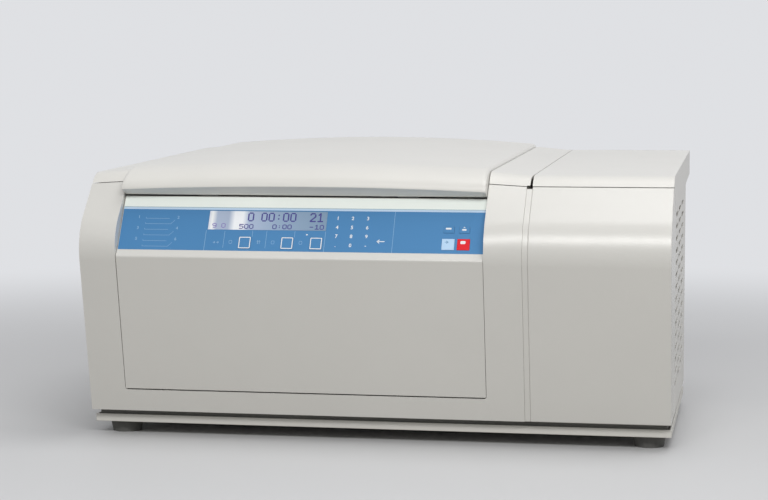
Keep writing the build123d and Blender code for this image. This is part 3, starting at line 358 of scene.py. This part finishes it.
# %% Metal finishes
stainless = finish("brushed stainless", (0.60, 0.60, 0.60), 0.28, metallic=1.0, grain_scale=350.0, bump=0.05)
plated = finish(
    "zinc plate", (0.55, 0.55, 0.53), 0.35, metallic=1.0, mottling=0.08, grain_scale=300.0, bump=0.06
)
aluminium = finish("satin aluminium", (0.72, 0.72, 0.73), 0.38, metallic=1.0, grain_scale=500.0, bump=0.06)
copper = finish("copper tube", (0.70, 0.32, 0.18), 0.32, metallic=1.0, mottling=0.12)
print(stainless.name, plated.name, aluminium.name, copper.name, sep=", ")

# %% [markdown]
# The panel foil is a printed sheet: a blue field, a thin light stripe above it, a darker line, and a pale
# band at the top. The pale band's print is made lighter than its own tone, as painted light against the
# shade under the lid's lip. Strips of mesh could carry the colours, but the foil is one sheet, so its
# material measures how far up the slope each point lies and changes colour there.

# %% Printed foil
blue_ink = (0.070, 0.240, 0.495)
stripes = [
    (57.7, (0.56, 0.72, 0.90)),
    (60.6, (0.30, 0.43, 0.50)),
    # The pale band: a print, lightened past its own tone as painted light against the lid's shade.
    (61.3, (0.93, 0.985, 0.945)),
]


def foil_pattern(tree):
    """The foil's colours, each from its own height in millimetres up the slope."""
    climb = tree.nodes.new("ShaderNodeVectorMath")
    climb.operation = "DOT_PRODUCT"
    feed(tree, climb.inputs[0], object_place(tree))
    climb.inputs[1].default_value = panel_up
    colour = opaque(blue_ink)
    for height, stripe in stripes:
        stripe_start = panel_foot.dot(panel_up) + height * mm
        mask = maths(tree, "GREATER_THAN", climb.outputs["Value"], stripe_start)
        colour = mixed(tree, mask, colour, opaque(stripe))
    return colour


foil_finish = finish(
    "printed foil", blue_ink, 0.42, specular=0.3, grain_scale=2500.0, bump=0.05, mottling=0.02, dusty=0.0
)
recolour(foil_finish, foil_pattern(foil_finish.node_tree))
print("foil stripes from", [height for height, stripe in stripes])

# %% [markdown]
# Prints and keys have plain, even colours with a satin surface, so they get no dust and next to no grain.

# %% Print and key finishes
printed = dict(bump=0.0, mottling=0.0, dusty=0.0)
key_cap = dict(specular=0.3, bump=0.03, mottling=0.01, dusty=0.0)
white_print = finish("white print", (0.86, 0.88, 0.90), 0.45, specular=0.3, **printed)
pale_print = finish("pale blue print", (0.26, 0.45, 0.68), 0.45, specular=0.3, **printed)
digit_violet = finish("display digits", (0.050, 0.045, 0.270), 0.5, **printed)
faint_violet = finish("faint display digits", (0.26, 0.22, 0.52), 0.5, **printed)
key_blue = finish("blue key", blue_ink, 0.40, **key_cap)
start_blue = finish("pale start key", (0.50, 0.70, 0.93), 0.38, **key_cap)
stop_red = finish("red stop key", (0.78, 0.012, 0.022), 0.38, **key_cap)
print(white_print.name, pale_print.name, key_blue.name, stop_red.name, sep=", ")

# %% [markdown]
# The display is a liquid crystal panel behind a window. Its colour is a ramp along the window: its own
# grey-blue at the right end, lighter towards the left, with near-white patches near the left end. The
# lightening to the left and the patches are painted reflection of lamps in the glass.

# %% Display with painted reflection
display_left = -119.6
display_right = 33.6
# The last tone is the display's own grey-blue. The lighter tones to the left are painted reflection, the
# near-white ones at 0.03 and from 0.22 to 0.29 most of all.
display_tones_and_glare = [
    (0.00, (0.70, 0.76, 0.88)),
    (0.03, (0.96, 0.98, 1.00)),
    (0.07, (0.44, 0.52, 0.68)),
    (0.17, (0.42, 0.50, 0.66)),
    (0.22, (0.92, 0.95, 1.00)),
    (0.29, (0.92, 0.95, 1.00)),
    (0.34, (0.44, 0.53, 0.70)),
    (0.60, (0.31, 0.42, 0.58)),
    (1.00, (0.23, 0.34, 0.48)),
]


def display_pattern(tree):
    """A ramp of tones from the display's left end to its right one, with painted reflection at the left."""
    split = tree.nodes.new("ShaderNodeSeparateXYZ")
    feed(tree, split.inputs[0], object_place(tree))
    left = panel_middle + display_left * mm
    right = panel_middle + display_right * mm
    ramp = tree.nodes.new("ShaderNodeValToRGB")
    while len(ramp.color_ramp.elements) < len(display_tones_and_glare):
        ramp.color_ramp.elements.new(0.5)
    for element, (share, tone) in zip(ramp.color_ramp.elements, display_tones_and_glare):
        element.position = share
        element.color = opaque(tone)
    feed(tree, ramp.inputs["Fac"], stretched(tree, split.outputs["X"], left, right))
    return ramp.outputs["Color"]


# The display's finish carries the ramp with its painted reflection.
display_face = finish("display with painted glare", display_tones_and_glare[-1][1], 0.3, specular=0.3, bump=0.0, dusty=0.0)
recolour(display_face, display_pattern(display_face.node_tree))
print("display tones:", len(display_tones_and_glare))

# %% [markdown]
# Blender's operators act on whatever is selected, so a piece is selected alone before it is worked on. The
# numbers of a mesh could be changed directly, but operators do what a modeller does by hand.

# %% Selecting and painting one piece


def only(piece):
    """Selects one object alone and makes it the active one."""
    bpy.ops.object.select_all(action="DESELECT")
    piece.select_set(True)
    bpy.context.view_layer.objects.active = piece


def wear(piece, material):
    """Gives a piece one material and no other."""
    piece.data.materials.clear()
    piece.data.materials.append(material)


# %% [markdown]
# A moulded piece never has a knife edge. A copy of a measured piece is welded, its sharp edges are found by
# the angle between their faces, and a narrow bevel rounds them. The bevel catches the light as a real edge
# does. Weighted normals then keep the big faces flat, so the shading turns only in the bevels.

# %% Rounding helper
weld_distance = 0.02
flat_angle = radians(0.4)
sharp_angle = radians(22.0)
smooth_angle = radians(35)
bevel_steps = 3


def select_sharp_edges(mesh):
    """Selects the edges where two faces meet at more than the sharp angle."""
    shape = bmesh.from_edit_mesh(mesh)
    for edge in shape.edges:
        if len(edge.link_faces) == 2 and edge.calc_face_angle(0) >= sharp_angle:
            edge.select = True
    bmesh.update_edit_mesh(mesh)


def rounded_copy(node, width, material):
    """A welded copy that stands for a measured piece, its sharp edges rounded by a width in millimetres."""
    piece = bpy.data.objects.new(node + "_finished", nodes[node].data.copy())
    bpy.context.scene.collection.objects.link(piece)
    only(piece)
    bpy.ops.object.mode_set(mode="EDIT")
    bpy.ops.mesh.select_mode(type="EDGE")
    bpy.ops.mesh.select_all(action="SELECT")
    bpy.ops.mesh.remove_doubles(threshold=weld_distance * mm)
    bpy.ops.mesh.dissolve_limited(angle_limit=flat_angle)
    bpy.ops.mesh.select_all(action="DESELECT")
    select_sharp_edges(piece.data)
    bpy.ops.mesh.bevel(
        offset=width * mm, segments=bevel_steps, profile=0.5, affect="EDGES", clamp_overlap=True
    )
    bpy.ops.object.mode_set(mode="OBJECT")
    wear(piece, material)
    bpy.ops.object.shade_smooth_by_angle(angle=smooth_angle)
    bpy.ops.object.modifier_add(type="WEIGHTED_NORMAL")
    piece.modifiers[-1].keep_sharp = True
    bpy.ops.object.modifier_apply(modifier=piece.modifiers[-1].name)
    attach(piece, body_of[node])
    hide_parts(node)
    return piece


print("edges are rounded from", round(sharp_angle, 2), "radians, in", bevel_steps, "steps")


# %% [markdown]
# Eight pieces make up most of what is seen of the housing from the front. The two big front mouldings have
# the widest rounds. The narrow joint strip has the tightest, so that the joint lines beside it stay crisp.

# %% Outer housing
outer = {
    "front_frame": (1.2, moulding),
    "fascia": (0.8, moulding),
    "joint_strip": (0.5, moulding),
    "module_front_panel": (1.2, moulding),
    "top_cover": (0.8, cover_finish),
    "module_cover": (1.0, cover_finish),
    "lid_shell": (0.8, cover_finish),
    "base_pan": (0.8, enamel),
}
for node, (width, material) in outer.items():
    piece = rounded_copy(node, width, material)
    print(piece.name, len(piece.data.polygons))

# %% [markdown]
# The panels stand on a rail that is set back above the pan, so a dark line runs round the machine's foot.
# The rail's faces are painted dark grey: painted shade, darker than the recess alone makes them. The line
# is taken to be a seal, which is a guess from its tone.
# The rail's shape is already in the pan, so its faces are painted on the pan's copy, rather than covered by
# a piece that the machine may not have.

# %% Painted shade on the rail under the panels
rail_start = 10.4
pan = bpy.data.objects["base_pan_finished"]
pan.data.materials.append(painted_shade_rail)
pan_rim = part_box("base_pan")[0].z + rail_start * mm
# Faces above the rail's start get the painted shade.
for face in pan.data.polygons:
    if max(pan.data.vertices[corner].co.z for corner in face.vertices) > pan_rim:
        face.material_index = 1
print("rail faces:", sum(face.material_index for face in pan.data.polygons))

# %% [markdown]
# The rest of the measured pieces keep their mesh, since their edges are small or out of sight, and only get
# a finish. On the panel, the foil and the window carry the patterns made above, and the keys are plain.

# %% Panel and keys


def dress(material, *names):
    """Gives measured pieces a finish."""
    for name in names:
        wear(nodes[name], material)
        dressed.add(name)
    print(material.name + ":", *names)


dressed = set()
dress(foil_finish, "keypad_overlay")
dress(display_face, "display_window")
dress(dark_plastic, "display_module")
dress(board_finish, "control_board")
dress(key_blue, "set_key_1", "set_key_2", "set_key_3", "pulse_key", "open_key")
dress(start_blue, "start_key")
dress(stop_red, "stop_key")

# %% [markdown]
# The sides and the rear are enamelled sheet steel. The mains inlet and its switch are black plastic, and
# the machine stands on grey rubber feet. Their shapes are complete in the measured model, so a finish is all
# that they need.

# %% Sides, rear and feet
dress(enamel, "left_side_panel", "right_side_panel", "rear_panel", "module_rear_panel")
dress(plated, "cover_screws")
dress(dark_plastic, "mains_inlet", "mains_rocker")
dress(rubber, "feet")

# %% [markdown]
# Under the lid, a stainless bowl sits in a cold jacket and foam. The rotor and its buckets are aluminium,
# which is light enough to spin fast, and rubber keeps the motor's shake away from the housing.

# %% Chamber, drive and rotor
dress(stainless, "chamber_bowl")
dress(aluminium, "evaporator", "rotor_yoke", "bucket_1", "bucket_2", "bucket_3", "bucket_4")
dress(foam_finish, "insulation")
dress(dark_rubber, "chamber_gasket", "spindle_boot", "motor_mounts")
dress(motor_paint, "motor")
dress(plated, "motor_plate", "spindle", "rotor_nut")

# %% [markdown]
# The hinge and the latch are plated steel, as parts that rub on each other often are. The lid's liner is
# plain plastic.

# %% Lid, hinge and latch
dress(liner_finish, "lid_liner")
dress(plated, "lid_strikers", "hinge_brackets", "hinge_pins", "hinge_arms")
dress(plated, "latch_hooks", "latch_shaft", "latch_brackets")
dress(dark_plastic, "latch_actuator")

# %% [markdown]
# The cooling parts show only through slots. The condenser's fins are dark grey: partly dark paint, as fins
# often have, and partly painted shade, so that the slots look as dark as the shade inside them. Dark paint
# on the condenser's fins is a guess from that.

# %% Cooling module
dress(black_enamel, "compressor", "fan_shroud")
dress(fins_dark_with_painted_shade, "condenser")
dress(motor_paint, "fan_motor")
dress(dark_plastic, "fan_rotor")
dress(aluminium, "power_module")
dress(copper, "filter_drier", "refrigerant_lines")
print("pieces without a finish:", sorted(set(nodes) - dressed - set(outer)))

# %% [markdown]
# The print on the foil is ink, a few hundredths of a millimetre thick. A picture could carry it, but drawn
# marks stay sharp from close by. Each is drawn flat first, with x for u and y for v, as a pen draws it: a
# stroke between two points, with its corners rounded.

# %% Pen strokes
stroke_corner = 0.3


def stroke(u0, v0, u1, v1, thickness):
    """A flat bar between two points, with rounded corners; it reaches half its thickness past them."""
    length = hypot(u1 - u0, v1 - v0) + thickness
    bpy.ops.mesh.primitive_plane_add(size=1, location=((u0 + u1) / 2 * mm, (v0 + v1) / 2 * mm, 0))
    piece = bpy.context.object
    piece.scale = (length * mm, thickness * mm, 1)
    piece.rotation_euler = (0, 0, atan2(v1 - v0, u1 - u0))
    bpy.ops.object.transform_apply(location=True, rotation=True, scale=True)
    bpy.ops.object.mode_set(mode="EDIT")
    bpy.ops.mesh.select_all(action="SELECT")
    bpy.ops.mesh.bevel(offset=stroke_corner * thickness * mm, segments=2, affect="VERTICES")
    bpy.ops.object.mode_set(mode="OBJECT")
    return piece


print("stroke corners start", stroke_corner, "of the thickness from each end")


# %% [markdown]
# Two more shapes recur: the ring round a key, which is a plane inset and emptied, and an arrow head, which
# is two strokes.

# %% Rings and arrow heads
arrow_half_angle = 0.7


def ring(u, v, width, height, line, corner=1.2):
    """A flat rectangular ring, made by insetting a plane with rounded corners and deleting its middle."""
    bpy.ops.mesh.primitive_plane_add(size=1, location=(u * mm, v * mm, 0))
    piece = bpy.context.object
    piece.scale = (width * mm, height * mm, 1)
    bpy.ops.object.transform_apply(location=True, rotation=False, scale=True)
    bpy.ops.object.mode_set(mode="EDIT")
    bpy.ops.mesh.select_all(action="SELECT")
    bpy.ops.mesh.bevel(offset=corner * mm, segments=3, affect="VERTICES")
    bpy.ops.mesh.select_mode(type="FACE")
    bpy.ops.mesh.select_all(action="SELECT")
    bpy.ops.mesh.inset(thickness=line * mm)
    bpy.ops.mesh.delete(type="FACE")
    bpy.ops.object.mode_set(mode="OBJECT")
    return piece


def arrow(u, v, reach, toward, line):
    """A flat arrow head of two strokes; toward is the angle that it points to."""
    legs = []
    for side in (-1, 1):
        back_to = toward + pi + side * arrow_half_angle
        legs.append(stroke(u, v, u + reach * cos(back_to), v + reach * sin(back_to), line))
    return legs


print("arrow legs spread by", 2 * arrow_half_angle, "radians")


# %% [markdown]
# Printed numbers come from Blender's own font, thickened a little. They are made a mesh before they are
# moved, as the marks are, so that all the pieces of a print can be joined.

# %% Printed numbers
thickening = 0.02


def number_at(text, u, v, size):
    """Flat bold digits, set about their middle."""
    bpy.ops.object.text_add(location=(u * mm, v * mm, 0))
    piece = bpy.context.object
    piece.data.body = text
    piece.data.size = size * mm
    piece.data.offset = thickening * size * mm
    piece.data.align_x = "CENTER"
    piece.data.align_y = "CENTER"
    only(piece)
    bpy.ops.object.convert(target="MESH")
    bpy.ops.object.transform_apply(location=True, rotation=True, scale=True)
    return bpy.context.object


print("digits are thickened by", thickening, "of their size")


# %% [markdown]
# The marks of one colour are joined into one sheet of print, turned to the slope and laid on it. A print on
# a key rides with the key, so that it moves when the key is pressed.

# %% Laying a print on the slope
ink = 0.04


def print_on(name, pieces, material, h=ink, body="housing"):
    """Joins flat marks into one sheet of print and lays it on the slope, h millimetres above the foil."""
    only(pieces[0])
    for piece in pieces:
        piece.select_set(True)
    if len(pieces) > 1:
        bpy.ops.object.join()
    piece = bpy.context.object
    piece.name = name
    piece.rotation_euler = panel_turn
    piece.location = on_panel(0, 0, h)
    bpy.ops.object.transform_apply(location=True, rotation=True, scale=True)
    wear(piece, material)
    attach(piece, body)
    print(name, len(piece.data.polygons))


print("ink lies", ink, "mm above the foil")


# %% [markdown]
# Thin upright lines part the panel into fields. They could be stripes in the foil's material, as the broad
# bands are, but a stroke starts and ends where the real line does. Each is given by its u and the v of its
# two ends.

# %% Dividers between the fields
long_lines = [(-121.0, 0.9, 28.6), (33.4, 0.9, 28.6), (119.6, 0.9, 57.0)]
short_lines = [(-96.6, 4.8, 27.5), (-60.4, 20.5, 28.6), (-42.1, 5.0, 28.6), (-5.9, 20.5, 28.6)]
print_on("long_dividers", [stroke(u, v0, u, v1, 0.55) for u, v0, v1 in long_lines], pale_print)
print_on("short_dividers", [stroke(u, v0, u, v1, 0.5) for u, v0, v1 in short_lines], pale_print)

# %% [markdown]
# The programme keys are one printed picture: six thin lines with a small tick at their left, three of them
# ending in a short slope up towards their number.

# %% Programme lines and numbers
line_pen = 0.45
line_left = -202.5
plain_right = -171.5
slope_left = -169.0
slope_right = -164.0
slope_rise = 5.4
tick_rise = 1.6
programme_size = 5.6
lines = []
for count, v in enumerate((44.7, 37.1, 29.1, 21.2, 13.2, 5.5)):
    lines.append(stroke(line_left, v, line_left, v + tick_rise, line_pen))
    if count % 2:
        lines.append(stroke(line_left, v, slope_left, v, line_pen))
        lines.append(stroke(slope_left, v, slope_right, v + slope_rise, line_pen))
    else:
        lines.append(stroke(line_left, v, plain_right, v, line_pen))
print_on("programme_lines", lines, pale_print)
left_numbers = [number_at(text, -211.7, v, programme_size) for text, v in zip("135", (46.5, 31.0, 15.7))]
right_numbers = [number_at(text, -160.0, v, programme_size) for text, v in zip("246", (46.2, 31.0, 15.8))]
print_on("programme_numbers", left_numbers + right_numbers, pale_print)

# %% [markdown]
# The number pad is printed on the same foil. Its presses are felt through the foil, so it has digits and no
# key caps.

# %% Number pad
pad_columns = (47.4, 66.4, 85.8)
pad_rows = (47.4, 34.7, 22.4, 9.9)
pad_digits = ("123", "456", "789", ".0-")
pad_size = 6.6
enter_v = 16.0
digits = []
for v, line in zip(pad_rows, pad_digits):
    for u, digit in zip(pad_columns, line):
        digits.append(number_at(digit, u, v, pad_size))
print_on("pad_digits", digits, white_print)
enter_mark = [stroke(100.5, enter_v, 109.0, enter_v, 1.0)] + arrow(100.0, enter_v, 3.2, pi, 1.0)
print_on("enter_mark", enter_mark, white_print)

# %% [markdown]
# Three set keys stand in a row under the display. A white ring is printed on each cap, just inside its
# edge.

# %% Framed set keys
set_key_middles = {"set_key_1": -69.3, "set_key_2": -14.6, "set_key_3": 22.5}
set_row = 12.0
set_key_width = 15.6
set_key_height = 16.4
ring_inset = 0.6
ring_line = 1.1
key_proud = 0.35
on_key = key_proud + ink
for key, u in set_key_middles.items():
    border = ring(u, set_row, set_key_width - ring_inset, set_key_height - ring_inset, ring_line)
    print_on(key + "_frame", [border], white_print, h=on_key, body=key)

# %% [markdown]
# Small signs stand beside the set keys: a box for each key, two strokes with arrow heads, and two upright
# arrows. They are plain shapes that stand for the real ones. A white dot above them stands for a signal
# lamp.

# %% Signs beside the set keys
signs = [ring(u, 12.8, 4.2, 4.8, 0.5, corner=1.3) for u in (-87.7, -33.0, 2.7)]
signs += [stroke(u, set_row, u + 2.4, set_row, 0.8) for u in (-110.0, -105.4)]
for u in (-107.4, -102.8):
    signs += arrow(u, set_row, 1.8, 0.0, 0.7)
for u in (-52.6, -50.2):
    signs += [stroke(u, 10.6, u, 14.6, 0.7)] + arrow(u, 15.2, 1.4, pi / 2, 0.6)
print_on("panel_symbols", signs, pale_print)
print_on("signal_lamp", [stroke(9.5, 24.2, 10.1, 24.2, 1.6)], white_print)

# %% [markdown]
# The display shows plain digits. Each is drawn with strokes in a cell, as a liquid crystal display forms
# it, so its corners stay open and its strokes are all equally thick. A font would give it closed corners.

# %% Shapes of the digits
digit_strokes = {
    "0": [(0, 0.14, 0, 0.86), (1, 0.14, 1, 0.86), (0.24, 0, 0.76, 0), (0.24, 1, 0.76, 1)],
    "1": [(0.55, 0, 0.55, 1), (0.2, 0.82, 0.5, 1), (0.1, 0, 1, 0)],
    "2": [(0, 0.84, 0.2, 1), (0.2, 1, 0.8, 1), (1, 0.84, 1, 0.62), (1, 0.6, 0, 0.06), (0, 0, 1, 0)],
    "5": [(0, 1, 1, 1), (0, 1, 0, 0.58), (0, 0.58, 0.76, 0.58), (1, 0.44, 1, 0.14), (0.76, 0, 0, 0)],
    "9": [
        (1, 0.14, 1, 0.86), (0.24, 1, 0.76, 1), (0, 0.86, 0, 0.6), (0.24, 0.46, 1, 0.46), (0.24, 0, 0.76, 0),
    ],
    "-": [(0, 0.5, 0.8, 0.5)],
    ":": [(0.5, 0.26, 0.5, 0.30), (0.5, 0.72, 0.5, 0.76)],
}
print("signs the display can show:", *digit_strokes)

# %% [markdown]
# The display has a row of large digits with a row of small ones under it, and two faint digits at the left.
# Each row is one print, which lies on the window just clear of its face.

# %% Rows of digits
above_window = 0.05
large = dict(cell=(8.0, 12.6), pitch=9.35, line=1.8)
small = dict(cell=(5.6, 6.6), pitch=6.5, line=1.2)


def shown(text, u, v, cell, pitch, line):
    """The strokes of a row of digits; u and v are the lower left of the first, cell its width and height."""
    strokes = []
    width, height = cell[0] - line, cell[1] - line
    low = v + line / 2
    for count, sign in enumerate(text):
        left = u + line / 2 + count * pitch
        for x0, y0, x1, y1 in digit_strokes[sign]:
            ends = (left + x0 * width, low + y0 * height, left + x1 * width, low + y1 * height)
            strokes.append(stroke(*ends, line))
    return strokes


def display_row(name, texts, v, style, material):
    """Prints a row of the display; texts gives each number's left end and what it says."""
    strokes = []
    for u, text in texts.items():
        strokes += shown(text, u, v, **style)
    print_on(name, strokes, material, h=above_window)


display_row("display_large_digits", {-69.0: "0", -51.6: "00:00", 11.3: "21"}, 41.8, large, digit_violet)
display_row("display_small_digits", {-79.0: "500", -36.0: "0:00", 12.0: "-10"}, 31.4, small, digit_violet)
display_row("display_faint_digits", {-114.2: "9", -102.4: "0"}, 32.4, small, faint_violet)

# %% [markdown]
# The four run keys at the right say what they do with a plain sign: a block for stop, an arrow for start, a
# bar for pulse, and a bar under an arrow for open.

# %% Marks on the run keys
print_on("stop_mark", [stroke(206.8, 16.0, 209.0, 16.0, 4.2)], white_print, h=on_key, body="stop_key")
start_mark = [stroke(185.6, 16.2, 188.4, 16.2, 1.2)] + arrow(189.2, 16.2, 2.4, 0.0, 1.1)
print_on("start_mark", start_mark, pale_print, h=on_key, body="start_key")
print_on("pulse_mark", [stroke(186.2, 34.8, 191.2, 34.8, 2.3)], white_print, h=on_key, body="pulse_key")
open_mark = [stroke(206.6, 33.4, 210.0, 33.4, 2.1)] + arrow(208.3, 37.2, 1.3, pi / 2, 0.6)
print_on("open_mark", open_mark, white_print, h=on_key, body="open_key")

# %% [markdown]
# A studio can be made simpler than a real one if a surface may answer the camera one way and bounced light
# another. Two helpers do this: one tells the kinds of light ray apart, and one mixes two shaders by that.

# %% Telling light rays apart


def ray_is(tree, *kinds):
    """1 for light rays of the named kinds and 0 for all others."""
    path = tree.nodes.new("ShaderNodeLightPath")
    share = path.outputs[kinds[0]]
    for kind in kinds[1:]:
        share = maths(tree, "MAXIMUM", share, path.outputs[kind])
    return share


def blended(tree, share, first, second, target):
    """Mixes two shaders by a share from 0 to 1 into the target's surface."""
    blend = tree.nodes.new("ShaderNodeMixShader")
    feed(tree, blend.inputs["Fac"], share)
    feed(tree, blend.inputs[1], first)
    feed(tree, blend.inputs[2], second)
    feed(tree, target.inputs["Surface"], blend.outputs["Shader"])


# %% [markdown]
# The machine stands on a plain pale floor, which fades into the same pale grey as the backdrop, so no
# horizon shows. To the camera the floor is pale. To light that bounces off it, it is a darker grey, which
# keeps the lower edges of the machine from glowing.

# %% Floor
backdrop = (0.74, 0.75, 0.775)
floor_seen = (0.66, 0.665, 0.68)
floor_bounce = (0.40, 0.39, 0.37)
floor_radius = 14
fade_start = 0.7
fade_end = 2.6


def floor_finish():
    """A satin floor that turns into the backdrop away from the machine."""
    material = bpy.data.materials.new("pale floor")
    material.use_nodes = True
    tree = material.node_tree
    shader = tree.nodes["Principled BSDF"]
    shader.inputs["Roughness"].default_value = 0.6
    shader.inputs["Specular IOR Level"].default_value = 0.2
    seen = ray_is(tree, "Is Camera Ray", "Is Glossy Ray")
    feed(tree, shader.inputs["Base Color"], mixed(tree, seen, opaque(floor_bounce), opaque(floor_seen)))
    distance = tree.nodes.new("ShaderNodeVectorMath")
    distance.operation = "LENGTH"
    feed(tree, distance.inputs[0], object_place(tree))
    fade = stretched(tree, distance.outputs["Value"], fade_start, fade_end, curve="SMOOTHSTEP")
    glow = tree.nodes.new("ShaderNodeEmission")
    glow.inputs["Color"].default_value = opaque(backdrop)
    share = maths(tree, "MULTIPLY", fade, seen)
    output = tree.nodes["Material Output"]
    blended(tree, share, shader.outputs["BSDF"], glow.outputs["Emission"], output)
    return material


bpy.ops.mesh.primitive_circle_add(vertices=64, radius=floor_radius, fill_type="NGON", location=(0, 0, 0))
floor = bpy.context.object
floor.name = "studio_floor"
wear(floor, floor_finish())
print("floor radius", floor_radius)

# %% [markdown]
# The world has two jobs. The camera sees the pale backdrop in it, and so do mirrored and refracted rays.
# All other light rays meet an even white, which fills the shadows. One colour could do both jobs, but then a
# new backdrop would change the light as well.

# %% Backdrop and fill light
fill_strength = 0.41


def studio_world():
    """A world that looks like the backdrop and lights like a white room."""
    made = bpy.data.worlds.new("studio world")
    made.use_nodes = True
    tree = made.node_tree
    fill = tree.nodes["Background"]
    fill.inputs["Color"].default_value = opaque((1.0, 1.0, 1.0))
    fill.inputs["Strength"].default_value = fill_strength
    view = tree.nodes.new("ShaderNodeBackground")
    view.inputs["Color"].default_value = opaque(backdrop)
    seen = ray_is(tree, "Is Camera Ray", "Is Glossy Ray", "Is Transmission Ray")
    output = tree.nodes["World Output"]
    blended(tree, seen, fill.outputs["Background"], view.outputs["Background"], output)
    return made


bpy.context.scene.world = studio_world()
print("fill strength", fill_strength)

# %% [markdown]
# Two lamps give the soft studio light. A long, narrow one, in front and about two metres up, draws the
# bright line along the nose and lights the front. A square one overhead, to the right, lights the tops.
# Small lamps could be as bright, but their shadows would be hard.

# %% Lamps
strip_white = (1.0, 0.995, 0.975)
top_white = (1.0, 0.995, 0.985)


def lamp(name, place, aim, size, power, colour):
    """A rectangular soft lamp, given its width and height, that points at a place."""
    bpy.ops.object.light_add(type="AREA", location=place)
    light = bpy.context.object
    light.name = name
    light.data.shape = "RECTANGLE"
    light.data.size, light.data.size_y = size
    light.data.energy = power
    light.data.color = colour
    direction = Vector(aim) - Vector(place)
    light.rotation_euler = direction.to_track_quat("-Z", "Y").to_euler()
    print(name, power, "watts")


lamp("strip_lamp", (0.65, -2.7, 1.98), (0, 0, 0.25), (2.7, 0.5), 47.0, strip_white)
lamp("top_lamp", (0.7, -0.15, 2.75), (0.1, 0, 0.3), (1.6, 1.6), 22.0, top_white)
bpy.context.scene.view_settings.view_transform = "Standard"
